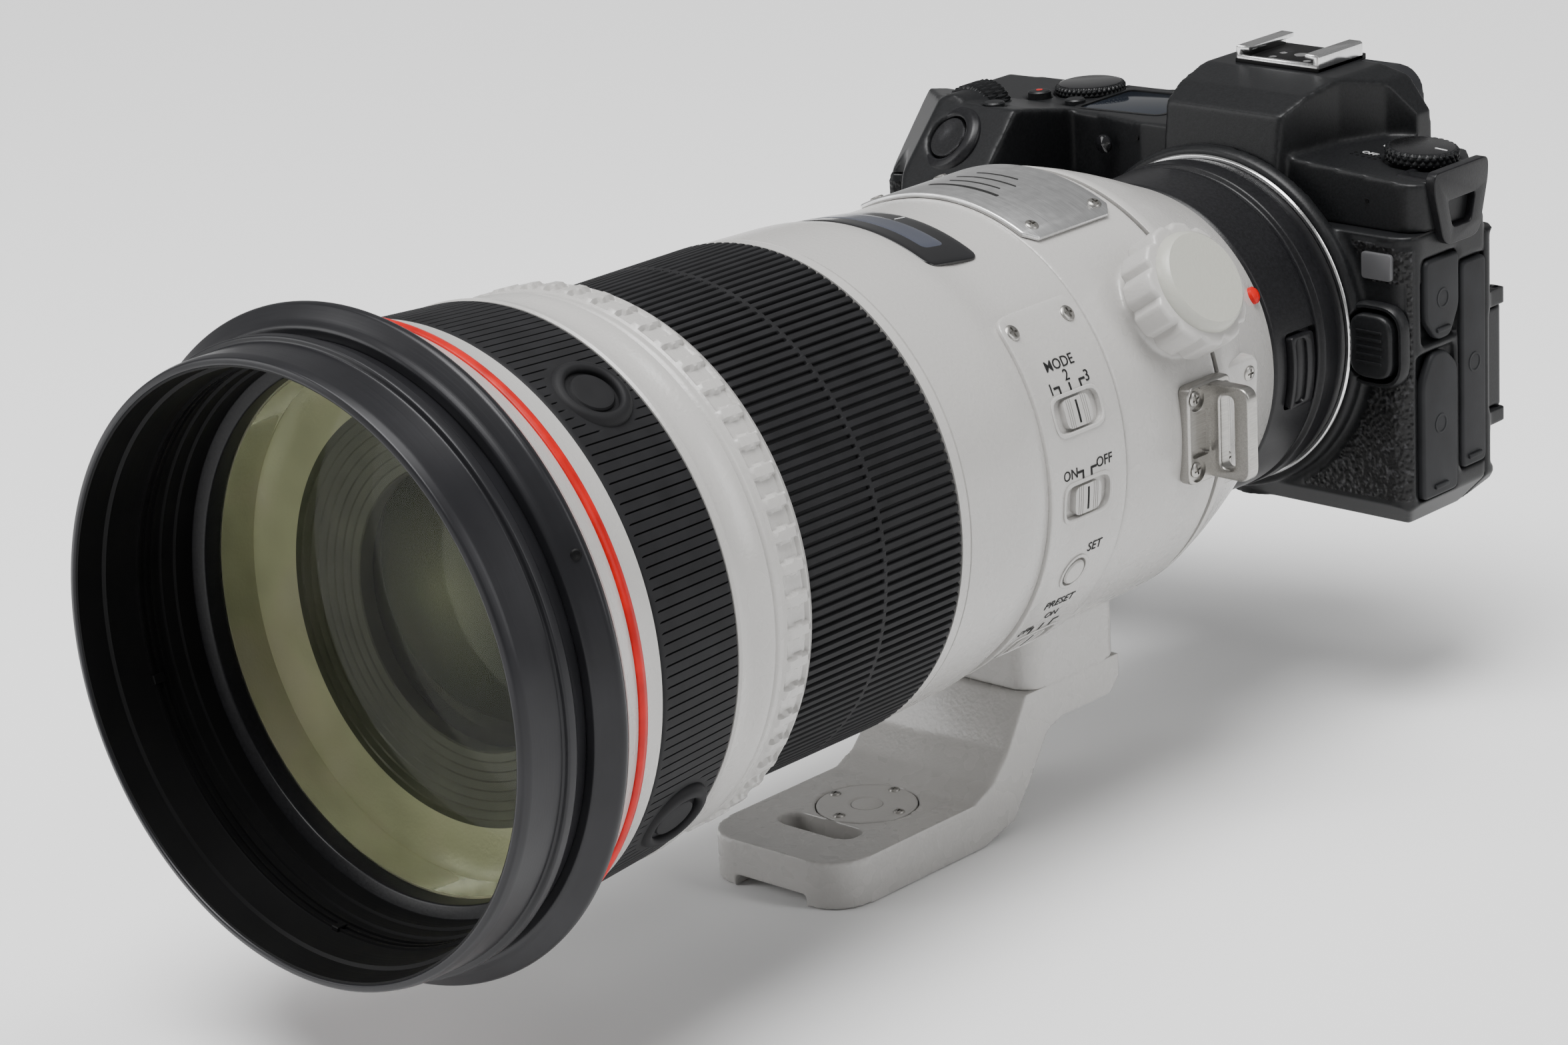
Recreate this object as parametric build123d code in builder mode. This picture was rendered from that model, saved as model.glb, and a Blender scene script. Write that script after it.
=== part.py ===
"""A mirrorless camera body with a mount adapter and a 300 mm telephoto lens.

Frame: +Z up, the lens looks along -Y, +X is the camera's own left side. The origin is the mouth of
the tripod socket in the flat underside of the lens foot. Millimetres.
"""

import os
from math import cos, radians, sin

from build123d import *

# ---------------------------------------------------------------- driving dimensions
AXIS_HEIGHT = 83.5          # lens axis above the foot's underside
LIP = -152.0                # station (Y) of the front lip
FLANGE_FACE = -134.2        # front of the widest ring
FLANGE_BACK = -130.9
GRIP_FRONT = -114.8         # front rubber ring
GRIP_BACK = -93.0
PLAYBACK_FRONT = -81.8      # scalloped ring
PLAYBACK_BACK = -70.2
FOCUS_BACK = -25.4          # back end of the rubber focus ring
SEAM = 29.5                 # front seam of the tripod collar
COLLAR_BACK = 61.8
LENS_BACK = 93.6            # lens mount face
BODY_MOUNT = 120.0          # camera mount face
SENSOR_DEPTH = 20.0         # mount face to sensor

LENS_RADIUS = 64.0          # widest ring
COLLAR_RADIUS = 46.4
JOURNAL_RADIUS = 43.0       # barrel inside the collar
RUNNING_FIT = 0.06          # radial clearance of turning rings
GAP = 0.3                   # clearance between parts that move past each other
ADAPTER_RADIUS = 35.6
THROAT_RADIUS = 27.0        # lens mount tube

BODY_LEFT = 49.0            # port side
BODY_RIGHT = -86.0          # grip side
BODY_FRONT = 123.0          # front plane below the top cover
COVER_FRONT = 126.5
BODY_BACK = 157.5
COVER_JOINT = 151.0         # front shell meets rear cover
BODY_BOTTOM = 40.8
TOP_JOINT = 107.0           # front shell meets top cover
WALL = 2.0

FOOT_HALF = 19.0            # half width of the lens foot
FOOT_FRONT = -30.0
FOOT_THICK = 10.0
FOOT_SEAM = 28.5            # joint between the collar's block and the foot
SOCKET_DRILL = 5.1 / 2      # minor radius of a 1/4-20 thread
SOCKET_DEPTH = 7.0
BUSH_RADIUS = 7.5

LENS_AXIS = Axis((0, 0, AXIS_HEIGHT), (0, 1, 0))


# ---------------------------------------------------------------- helpers
def at(angle, radius, station):
    """A point on the lens: angle in degrees about the axis from +X towards +Z."""
    return (radius * cos(radians(angle)), station, AXIS_HEIGHT + radius * sin(radians(angle)))


def outward(angle, radius, station):
    """A plane that faces straight out of the barrel, its X along the lens axis."""
    return Plane(
        origin=at(angle, radius, station),
        x_dir=(0, 1, 0),
        z_dir=(cos(radians(angle)), 0, sin(radians(angle))),
    )


def section(*points, angle=90):
    """A closed outline of (station, radius) points on a half plane through the lens axis."""
    half_plane = Plane(
        origin=(0, 0, AXIS_HEIGHT),
        x_dir=(0, 1, 0),
        z_dir=(sin(radians(angle)), 0, -cos(radians(angle))),
    )
    with BuildSketch(half_plane) as outline:
        with BuildLine():
            Polyline(*points, close=True)
        make_face()
    return outline.sketch


def sector(start, arc, *points):
    """A part of a turned ring: from the start angle towards +X by arc degrees."""
    with BuildPart() as piece:
        revolve(section(*points, angle=start), axis=LENS_AXIS, revolution_arc=arc)
    return piece.part


def block(x_range, y_range, z_range):
    """A plain box between two corners."""
    with BuildPart() as piece:
        with Locations((sum(x_range) / 2, sum(y_range) / 2, sum(z_range) / 2)):
            Box(x_range[1] - x_range[0], y_range[1] - y_range[0], z_range[1] - z_range[0])
    return piece.part


def disc(plane, radius, height):
    """A round plug that stands on a plane."""
    with BuildPart() as piece:
        with BuildSketch(plane):
            Circle(radius)
        extrude(amount=height)
    return piece.part


def slab(plane, width, depth, corner, height):
    """A plate with rounded corners that stands on a plane."""
    with BuildPart() as piece:
        with BuildSketch(plane):
            RectangleRounded(width, depth, corner)
        extrude(amount=height)
    return piece.part


def flap(box, pin, along, radius):
    """A lid whose hinge edge is rounded about its pin: box is the flat part, along the pin's axis."""
    with BuildPart() as piece:
        add(block(*box))
        span = box["XYZ".index(along)]
        start = list(pin)
        start["XYZ".index(along)] = span[0]
        normal = [0, 0, 0]
        normal["XYZ".index(along)] = 1
        add(disc(Plane(origin=tuple(start), z_dir=tuple(normal)), radius, span[1] - span[0]))
    return piece.part


def save(builder, label):
    """Label a finished sub-part and write its STEP file."""
    builder.part.label = label
    export_step(builder.part, f"parts/{label}.step")


os.makedirs("parts", exist_ok=True)

# ================================================================ tripod collar and foot
KNOB_ANGLE = 33.0
KNOB_STATION = 51.4
KNOB_BASE = 49.2
KNOB_HEIGHT = 11.0
KNOB_RADIUS = 13.4
KNOB_SHAFT = 3.0
PLATE_ANGLE = 29.0          # half angle of the name plate
BLOCK_FRONT = 29.8
BLOCK_BACK = 59.8
LUG_SCREW_Z = 7.4
LUG_SCREW_STATIONS = (50.2, 59.6)

with BuildPart() as collar_ring:
    revolve(
        section(
            (SEAM + GAP, JOURNAL_RADIUS + RUNNING_FIT),
            (SEAM + GAP, COLLAR_RADIUS),
            (COLLAR_BACK - 1.5, COLLAR_RADIUS),
            (COLLAR_BACK, COLLAR_RADIUS - 1.5),
            (COLLAR_BACK, JOURNAL_RADIUS + RUNNING_FIT),
        ),
        axis=LENS_AXIS,
    )
    with BuildSketch(Plane.XY.offset(FOOT_SEAM)):
        with Locations((0, (BLOCK_FRONT + BLOCK_BACK) / 2)):
            RectangleRounded(2 * FOOT_HALF + 1, BLOCK_BACK - BLOCK_FRONT, 5)
    extrude(amount=18)
    add(disc(outward(KNOB_ANGLE, 44.0, KNOB_STATION), KNOB_RADIUS - 3, KNOB_BASE - GAP - 44.0))
    revolve(
        section(
            (SEAM, 0),
            (SEAM, JOURNAL_RADIUS + RUNNING_FIT),
            (COLLAR_BACK + 1, JOURNAL_RADIUS + RUNNING_FIT),
            (COLLAR_BACK + 1, 0),
        ),
        axis=LENS_AXIS,
        mode=Mode.SUBTRACT,
    )
    add(disc(outward(KNOB_ANGLE, 40.0, KNOB_STATION), KNOB_SHAFT + 0.05, 12.0), mode=Mode.SUBTRACT)
save(collar_ring, "collar_ring")

POCKET_STATION = -14.3
with BuildPart() as foot:
    with BuildSketch(Plane.YZ.offset(-FOOT_HALF)):
        with BuildLine():
            Polyline(
                (FOOT_FRONT, 0),
                (15.0, 0),
                (24.0, 2.5),
                (29.5, 9.5),
                (35.5, 18.5),
                (41.0, 20.5),
                (BLOCK_BACK - 3, 20.5),
                (BLOCK_BACK, 23.5),
                (BLOCK_BACK, FOOT_SEAM),
                (BLOCK_FRONT - 1, FOOT_SEAM),
                (22.5, 18.0),
                (17.0, 12.4),
                (11.5, FOOT_THICK),
                (FOOT_FRONT, FOOT_THICK),
                close=True,
            )
        make_face()
    extrude(amount=2 * FOOT_HALF)
    front_corners = foot.edges().filter_by(Axis.Z).group_by(Axis.Y)[0]
    fillet(front_corners, radius=9)
    with BuildSketch(Plane.XY.offset(FOOT_THICK)):
        with Locations((0, POCKET_STATION)):
            SlotOverall(20.0, 6.5)
    extrude(amount=-6.0, mode=Mode.SUBTRACT)
    with BuildSketch(Plane.XY.offset(FOOT_THICK)):
        Circle(10.6)
    extrude(amount=-2.0, mode=Mode.SUBTRACT)
    with BuildSketch(Plane.XY):
        Circle(BUSH_RADIUS)
    extrude(amount=FOOT_THICK, mode=Mode.SUBTRACT)
    with BuildSketch(Plane.XY):
        with Locations((0, FOOT_FRONT + 4)):
            Rectangle(19.0, 12.0)
    extrude(amount=2.2, mode=Mode.SUBTRACT)
save(foot, "foot")

SCREW_CIRCLE = 8.6
with BuildPart() as socket_plate:
    with BuildSketch(Plane.XY.offset(FOOT_THICK - 2.0)):
        Circle(10.5)
    extrude(amount=2.0)
    with BuildSketch(Plane.XY):
        Circle(BUSH_RADIUS)
    extrude(amount=FOOT_THICK - 2.0)
    with BuildSketch(Plane.XY):
        Circle(SOCKET_DRILL)
    extrude(amount=SOCKET_DEPTH, mode=Mode.SUBTRACT)
save(socket_plate, "socket_plate")

LUG_REACH = 12.0
with BuildPart() as strap_lugs:
    for side in (1, -1):
        face = COLLAR_RADIUS - 0.4
        add(
            block(
                sorted((side * face, side * (face + 2.2))),
                (47.5, 61.5),
                (AXIS_HEIGHT - 10, AXIS_HEIGHT + 10),
            )
        )
        add(
            block(
                sorted((side * face, side * (face + LUG_REACH))),
                (54.4, 57.6),
                (AXIS_HEIGHT - 9.5, AXIS_HEIGHT + 9.5),
            )
        )
        add(
            block(
                sorted((side * (face + 3.6), side * (face + LUG_REACH - 3.4))),
                (53.0, 59.0),
                (AXIS_HEIGHT - 7.5, AXIS_HEIGHT + 7.5),
            ),
            mode=Mode.SUBTRACT,
        )
    revolve(
        section((SEAM, 0), (SEAM, COLLAR_RADIUS), (COLLAR_BACK, COLLAR_RADIUS), (COLLAR_BACK, 0)),
        axis=LENS_AXIS,
        mode=Mode.SUBTRACT,
    )
save(strap_lugs, "strap_lugs")

with BuildPart() as collar_screws:
    for turn in (0, 90, 180, 270):
        spot = (SCREW_CIRCLE * cos(radians(turn)), SCREW_CIRCLE * sin(radians(turn)))
        with BuildSketch(Plane.XY.offset(FOOT_THICK)):
            with Locations(spot):
                Circle(1.5)
        extrude(amount=0.4)
    for side in (1, -1):
        for station in LUG_SCREW_STATIONS:
            for height in (-LUG_SCREW_Z, LUG_SCREW_Z):
                head = Plane(
                    origin=(side * (COLLAR_RADIUS + 1.8), station, AXIS_HEIGHT + height),
                    x_dir=(0, 1, 0),
                    z_dir=(side, 0, 0),
                )
                add(disc(head, 1.8, 0.8))
save(collar_screws, "collar_screws")

with BuildPart() as name_plate:
    add(
        sector(
            90 + PLATE_ANGLE,
            2 * PLATE_ANGLE,
            (SEAM + 0.8, COLLAR_RADIUS),
            (SEAM + 0.8, COLLAR_RADIUS + 1.2),
            (57.5, COLLAR_RADIUS + 1.2),
            (57.5, COLLAR_RADIUS),
        )
    )
save(name_plate, "name_plate")

with BuildPart() as lock_knob:
    add(disc(outward(KNOB_ANGLE, KNOB_BASE, KNOB_STATION), KNOB_RADIUS, KNOB_HEIGHT - 3.4))
    add(disc(outward(KNOB_ANGLE, KNOB_BASE, KNOB_STATION), 10.0, KNOB_HEIGHT))
    add(disc(outward(KNOB_ANGLE, 43.6, KNOB_STATION), KNOB_SHAFT, 10.0))
save(lock_knob, "lock_knob")

# ================================================================ lens: front group
with BuildPart() as front_ring:
    revolve(
        section(
            (LIP, 57.4),
            (LIP + 0.5, 58.3),
            (LIP + 1.6, 58.9),
            (-142.4, 58.9),
            (-142.2, 60.1),
            (-139.9, 60.1),
            (-139.7, 58.4),
            (-136.0, 58.4),
            (-136.0, 54.6),
            (-150.8, 56.0),
        ),
        axis=LENS_AXIS,
    )
save(front_ring, "front_ring")

with BuildPart() as front_flange:
    revolve(
        section(
            (-136.0, 54.6),
            (-136.0, 60.6),
            (FLANGE_FACE, 62.5),
            (-131.8, LENS_RADIUS),
            (FLANGE_BACK, LENS_RADIUS),
            (FLANGE_BACK, 54.6),
        ),
        axis=LENS_AXIS,
    )
save(front_flange, "front_flange")

BUTTON_STATION = -103.0
BUTTON_ANGLES = (55, -35, -125, 145)
BUTTON_RADIUS = 4.4
BARREL_UNDER_GRIP = 53.0
with BuildPart() as front_barrel:
    revolve(
        section(
            (FLANGE_BACK, 62.8),
            (-128.5, 61.8),
            (-121.0, 58.4),
            (GRIP_FRONT, 56.2),
            (GRIP_FRONT, BARREL_UNDER_GRIP),
            (GRIP_BACK, BARREL_UNDER_GRIP),
            (GRIP_BACK, 54.6),
            (-89.5, 54.6),
            (-86.0, 53.8),
            (PLAYBACK_FRONT - GAP, 53.6),
            (PLAYBACK_FRONT - GAP, 49.5),
            (PLAYBACK_BACK - 0.2, 49.5),
            (PLAYBACK_BACK - 0.2, 42.2),
            (-78.0, 42.2),
            (-78.0, 47.5),
            (-93.0, 50.5),
            (-128.0, 54.0),
            (FLANGE_BACK, 54.0),
        ),
        axis=LENS_AXIS,
    )
    for angle in BUTTON_ANGLES:
        add(
            disc(outward(angle, BARREL_UNDER_GRIP - 1.6, BUTTON_STATION), BUTTON_RADIUS + GAP, 6.0),
            mode=Mode.SUBTRACT,
        )
save(front_barrel, "front_barrel")

with BuildPart() as front_grip:
    revolve(
        section(
            (GRIP_FRONT, BARREL_UNDER_GRIP),
            (GRIP_FRONT, 56.2),
            (GRIP_BACK, 54.6),
            (GRIP_BACK, BARREL_UNDER_GRIP),
        ),
        axis=LENS_AXIS,
    )
    for angle in BUTTON_ANGLES:
        add(
            disc(outward(angle, BARREL_UNDER_GRIP - 2, BUTTON_STATION), BUTTON_RADIUS + GAP, 8.0),
            mode=Mode.SUBTRACT,
        )
save(front_grip, "front_grip")

for number, angle in enumerate(BUTTON_ANGLES, start=1):
    with BuildPart() as af_stop_button:
        add(disc(outward(angle, BARREL_UNDER_GRIP, BUTTON_STATION), BUTTON_RADIUS, 3.2))
    save(af_stop_button, f"af_stop_button_{number}")

with BuildPart() as playback_ring:
    revolve(
        section(
            (PLAYBACK_FRONT, 49.5 + RUNNING_FIT),
            (PLAYBACK_FRONT, 52.8),
            (PLAYBACK_FRONT + 1.5, 54.0),
            (PLAYBACK_BACK - 2.5, 53.6),
            (PLAYBACK_BACK - 0.5, 52.0),
            (PLAYBACK_BACK - 0.5, 49.5 + RUNNING_FIT),
        ),
        axis=LENS_AXIS,
    )
save(playback_ring, "playback_ring")

RUBBER_INSIDE = 48.1
with BuildPart() as focus_ring:
    revolve(
        section(
            (PLAYBACK_BACK + 0.2, RUBBER_INSIDE),
            (PLAYBACK_BACK + 0.2, 50.3),
            (FOCUS_BACK, 50.1),
            (FOCUS_BACK, RUBBER_INSIDE),
        ),
        axis=LENS_AXIS,
    )
save(focus_ring, "focus_ring")

SCALE_BACK = 16.5
with BuildPart() as focus_sleeve:
    revolve(
        section(
            (PLAYBACK_BACK + 0.4, RUBBER_INSIDE),
            (FOCUS_BACK - 0.2, RUBBER_INSIDE),
            (FOCUS_BACK - 0.2, 44.0),
            (SCALE_BACK, 44.0),
            (SCALE_BACK, 42.8),
            (FOCUS_BACK - 1.6, 42.8),
            (FOCUS_BACK - 1.6, 46.6),
            (PLAYBACK_BACK + 0.4, 46.6),
        ),
        axis=LENS_AXIS,
    )
save(focus_sleeve, "focus_sleeve")

# ================================================================ lens: middle barrel
WINDOW_ANGLE = 28.0         # half angle of the distance window
WINDOW = (0.6, 15.6)
PANEL_STATIONS = (2.6, 28.4)
PANEL_TOP = 43.0            # angles between which the switch panel lies
PANEL_BOTTOM = -62.0
PANEL_RADIUS = 47.9
SLOT_STATION = 15.6
SWITCH_LONG = 13.4
SWITCH_HIGH = 6.2
MODE_ANGLE = 16.6
STABILIZER_ANGLE = -4.4
SET_ANGLE = -24.5
PRESET_ANGLE = -50.0
SLIDE_TRAVEL = 5.0          # end to end
SLIDER_LONG = SWITCH_LONG - SLIDE_TRAVEL - 0.4
SLOT_FLOOR = 45.2

with BuildPart() as mid_barrel:
    revolve(
        section(
            (-25.1, 49.8),
            (-8.0, 49.4),
            (-3.0, 49.1),
            (0.0, 48.5),
            (4.0, 47.6),
            (7.2, 47.0),
            (9.5, 46.6),
            (SEAM, 46.5),
            (SEAM, JOURNAL_RADIUS),
            (COLLAR_BACK + 0.3, JOURNAL_RADIUS),
            (COLLAR_BACK + 0.3, 40.5),
            (-78.0, 40.5),
            (-78.0, 42.2),
            (20.0, 42.2),
            (20.0, 44.6),
            (-25.1, 44.6),
        ),
        axis=LENS_AXIS,
    )
    add(
        sector(
            90 + WINDOW_ANGLE,
            2 * WINDOW_ANGLE,
            (WINDOW[0], 45.6),
            (WINDOW[0], 50.0),
            (WINDOW[1], 50.0),
            (WINDOW[1], 45.6),
        ),
        mode=Mode.SUBTRACT,
    )
    add(
        sector(
            90 + WINDOW_ANGLE - 4,
            2 * WINDOW_ANGLE - 8,
            (WINDOW[0] + 2, 44.4),
            (WINDOW[0] + 2, 50.0),
            (WINDOW[1] - 2, 50.0),
            (WINDOW[1] - 2, 44.4),
        ),
        mode=Mode.SUBTRACT,
    )
    for angle in (MODE_ANGLE, STABILIZER_ANGLE, SET_ANGLE, PRESET_ANGLE):
        add(
            slab(outward(angle, SLOT_FLOOR, SLOT_STATION), SWITCH_LONG, SWITCH_HIGH + 0.8, 2.2, 6.0),
            mode=Mode.SUBTRACT,
        )
save(mid_barrel, "mid_barrel")

with BuildPart() as distance_window:
    add(
        sector(
            90 + WINDOW_ANGLE - 0.2,
            2 * WINDOW_ANGLE - 0.4,
            (WINDOW[0] + 0.1, 45.6),
            (WINDOW[0] + 0.1, 48.2),
            (5.0, 47.3),
            (WINDOW[1] - 0.1, 46.9),
            (WINDOW[1] - 0.1, 45.6),
        )
    )
save(distance_window, "distance_window")

with BuildPart() as switch_panel:
    add(
        sector(
            PANEL_TOP,
            PANEL_TOP - PANEL_BOTTOM,
            (PANEL_STATIONS[0], 46.4),
            (PANEL_STATIONS[0] + 1.0, PANEL_RADIUS),
            (PANEL_STATIONS[1] - 1.0, PANEL_RADIUS),
            (PANEL_STATIONS[1], 46.4),
        )
    )
    revolve(
        section(
            (-25.1, 0),
            (-25.1, 49.8),
            (-8.0, 49.4),
            (-3.0, 49.1),
            (0.0, 48.5),
            (4.0, 47.6),
            (7.2, 47.0),
            (9.5, 46.6),
            (SEAM, 46.5),
            (SEAM, 0),
        ),
        axis=LENS_AXIS,
        mode=Mode.SUBTRACT,
    )
    for angle in (MODE_ANGLE, STABILIZER_ANGLE, PRESET_ANGLE):
        add(
            slab(outward(angle, SLOT_FLOOR, SLOT_STATION), SWITCH_LONG, SWITCH_HIGH + 0.4, 2.2, 6.0),
            mode=Mode.SUBTRACT,
        )
    add(disc(outward(SET_ANGLE, SLOT_FLOOR, SLOT_STATION), 2.9 + 0.2, 6.0), mode=Mode.SUBTRACT)
save(switch_panel, "switch_panel")

for label, angle in (
    ("mode_switch", MODE_ANGLE),
    ("stabilizer_switch", STABILIZER_ANGLE),
    ("preset_switch", PRESET_ANGLE),
):
    with BuildPart() as slider:
        add(slab(outward(angle, SLOT_FLOOR + 0.2, SLOT_STATION), SLIDER_LONG, SWITCH_HIGH - 0.3, 1.9, 2.6))
    save(slider, label)

with BuildPart() as set_button:
    add(disc(outward(SET_ANGLE, SLOT_FLOOR + 0.9, SLOT_STATION), 2.8, 2.1))
save(set_button, "set_button")

# ================================================================ lens: rear barrel
AF_ANGLE = -10.0
AF_STATION = 71.0
AF_FLOOR = 40.6
MOUNT_SEAT = LENS_BACK - 2.0
AF_PANEL = (-4.0, 43.4, 69.8)   # angle, radius and station of the small raised panel
FILTER = (67.0, 74.0)
FILTER_FRAME = 30.0
FILTER_GLASS = 24.0
CAP_X = -44.2

with BuildPart() as rear_barrel:
    revolve(
        section(
            (COLLAR_BACK + 0.3, 40.5),
            (COLLAR_BACK + 0.3, 46.2),
            (66.0, 45.4),
            (76.0, 42.0),
            (88.0, 37.4),
            (LENS_BACK, 35.3),
            (LENS_BACK, 33.0),
            (MOUNT_SEAT, 33.0),
            (MOUNT_SEAT, 30.5),
            (82.0, 34.0),
            (76.0, 37.0),
            (66.0, 40.5),
        ),
        axis=LENS_AXIS,
    )
    add(slab(outward(AF_PANEL[0], 34.0, AF_PANEL[2]), 14.4, 26.0, 4.0, AF_PANEL[1] - 34.0))
    revolve(
        section((60, 0), (60, 36.6), (78, 36.0), (82, 34.0), (94, 30.5), (98, 30.5), (98, 0)),
        axis=LENS_AXIS,
        mode=Mode.SUBTRACT,
    )
    add(slab(outward(AF_ANGLE, AF_FLOOR, AF_STATION), 9.4, 6.0, 2.0, 6.0), mode=Mode.SUBTRACT)
    add(
        block(
            (-60, -20),
            (FILTER[0] - GAP, FILTER[1] + GAP),
            (AXIS_HEIGHT - FILTER_FRAME - GAP, AXIS_HEIGHT + FILTER_FRAME + GAP),
        ),
        mode=Mode.SUBTRACT,
    )
save(rear_barrel, "rear_barrel")

with BuildPart() as af_mf_switch:
    add(slab(outward(AF_ANGLE, AF_FLOOR + 0.2, AF_STATION), 6.0, 5.2, 1.8, 3.4))
save(af_mf_switch, "af_mf_switch")

with BuildPart() as filter_holder:
    add(block((-43.0, 0), FILTER, (AXIS_HEIGHT - FILTER_FRAME + 1.5, AXIS_HEIGHT + FILTER_FRAME - 1.5)))
    add(disc(Plane(origin=(0, FILTER[0], AXIS_HEIGHT), z_dir=(0, 1, 0)), FILTER_FRAME, FILTER[1] - FILTER[0]))
    add(
        disc(Plane(origin=(0, FILTER[0] - 1, AXIS_HEIGHT), z_dir=(0, 1, 0)), FILTER_GLASS, 12.0),
        mode=Mode.SUBTRACT,
    )
    add(disc(Plane(origin=(0, 69.0, AXIS_HEIGHT), z_dir=(0, 1, 0)), FILTER_GLASS, 2.0))
    revolve(section((60, 0), (60, 47.4), (66, 46.6), (76, 43.6), (80, 42.0), (80, 0)), axis=LENS_AXIS,
            mode=Mode.INTERSECT)
save(filter_holder, "filter_holder")

with BuildPart() as lens_mount:
    revolve(
        section(
            (MOUNT_SEAT, 24.2),
            (MOUNT_SEAT, 33.0),
            (LENS_BACK, 33.0),
            (LENS_BACK, THROAT_RADIUS),
            (101.0, THROAT_RADIUS),
            (101.0, 24.2),
        ),
        axis=LENS_AXIS,
    )
save(lens_mount, "lens_mount")

# ================================================================ lens: glass and its cells
GLASS_FACE = -122.0
GLASS_RADIUS = 53.0
GLASS_THICK = 20.0
with BuildPart() as front_glass:
    revolve(
        section(
            (GLASS_FACE - 4.0, 0),
            (GLASS_FACE - 3.4, 22),
            (GLASS_FACE - 1.8, 40),
            (GLASS_FACE + 0.4, GLASS_RADIUS),
            (GLASS_FACE + GLASS_THICK, 50.8),
            (GLASS_FACE + GLASS_THICK, 0),
        ),
        axis=LENS_AXIS,
    )
save(front_glass, "front_glass")

CELL_RADIUS = 40.2
CELL_FRONT = -40.0
CELL_TRAVEL = 12.0
with BuildPart() as focus_cell:
    revolve(
        section(
            (CELL_FRONT, 30.0),
            (CELL_FRONT, CELL_RADIUS),
            (CELL_FRONT + 16.0, CELL_RADIUS),
            (CELL_FRONT + 16.0, 30.0),
        ),
        axis=LENS_AXIS,
    )
    revolve(
        section(
            (CELL_FRONT + 1.0, 0),
            (CELL_FRONT + 4.0, 30.0),
            (CELL_FRONT + 12.0, 30.0),
            (CELL_FRONT + 12.0, 0),
        ),
        axis=LENS_AXIS,
    )
save(focus_cell, "focus_cell")

with BuildPart() as rear_glass:
    for front, back, rim in ((-76.0, -66.0, 34.0), (24.0, 33.0, 22.0), (46.0, 54.0, 20.0)):
        revolve(
            section((front, 0), (front + 2.0, rim), (front + 2.0, 40.5), (back, 40.5), (back, 0)),
            axis=LENS_AXIS,
        )
save(rear_glass, "rear_glass")

with BuildPart() as lens_screws:
    for angle, station in ((39.0, 6.6), (39.0, 24.0)):
        add(disc(outward(angle, PANEL_RADIUS, station), 1.7, 0.6))
    for along, up in ((3.6, 9.4), (3.6, -9.4)):
        spot = outward(AF_PANEL[0], AF_PANEL[1], AF_PANEL[2]).location * Pos(along, up, 0)
        add(disc(Plane(spot), 1.7, 0.6))
save(lens_screws, "lens_screws")

# ================================================================ mount adapter
RELEASE = (98.4, 106.0)
RELEASE_TRAVEL = 2.2
RELEASE_TOP = 10.0
RELEASE_ARC = 25.0
with BuildPart() as adapter_shell:
    revolve(
        section(
            (LENS_BACK, 34.8),
            (94.6, 35.2),
            (109.0, ADAPTER_RADIUS),
            (109.4, 35.0),
            (110.2, 35.0),
            (110.6, 36.0),
            (118.4, 36.2),
            (119.7, 34.2),
            (BODY_MOUNT, 34.2),
            (BODY_MOUNT, 27.6),
            (117.0, 27.6),
            (117.0, 31.0),
            (102.0, 31.0),
            (102.0, THROAT_RADIUS),
            (LENS_BACK, THROAT_RADIUS),
        ),
        axis=LENS_AXIS,
    )
    add(
        sector(
            RELEASE_TOP + 1,
            RELEASE_ARC + 2,
            (RELEASE[0] - GAP, 33.6),
            (RELEASE[0] - GAP, 38.0),
            (RELEASE[1] + RELEASE_TRAVEL + GAP, 38.0),
            (RELEASE[1] + RELEASE_TRAVEL + GAP, 33.6),
        ),
        mode=Mode.SUBTRACT,
    )
save(adapter_shell, "adapter_shell")

with BuildPart() as adapter_release:
    add(
        sector(
            RELEASE_TOP,
            RELEASE_ARC,
            (RELEASE[0], 33.9),
            (RELEASE[0], 37.2),
            (RELEASE[1], 37.2),
            (RELEASE[1], 33.9),
        )
    )
save(adapter_release, "adapter_release")

# ================================================================ camera body
SHUTTER = (-62.5, 107.0, 118.6)
SHUTTER_NORMAL = (-0.171, -0.754, 0.635)


def body_plan(plane, front, step):
    """The camera's outline from above, without the grip; step is how far the grip side sits back."""
    with BuildSketch(plane) as plan:
        with BuildLine():
            Polyline(
                (BODY_LEFT, COVER_JOINT),
                (BODY_LEFT, front),
                (-24.0, front),
                (-38.0, front + 0.7 * step),
                (BODY_RIGHT, front + step),
                (BODY_RIGHT, COVER_JOINT),
                close=True,
            )
        make_face()
        fillet(plan.vertices().group_by(Axis.Y)[0].sort_by(Axis.X)[-1], 5)
    return plan.sketch


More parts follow.
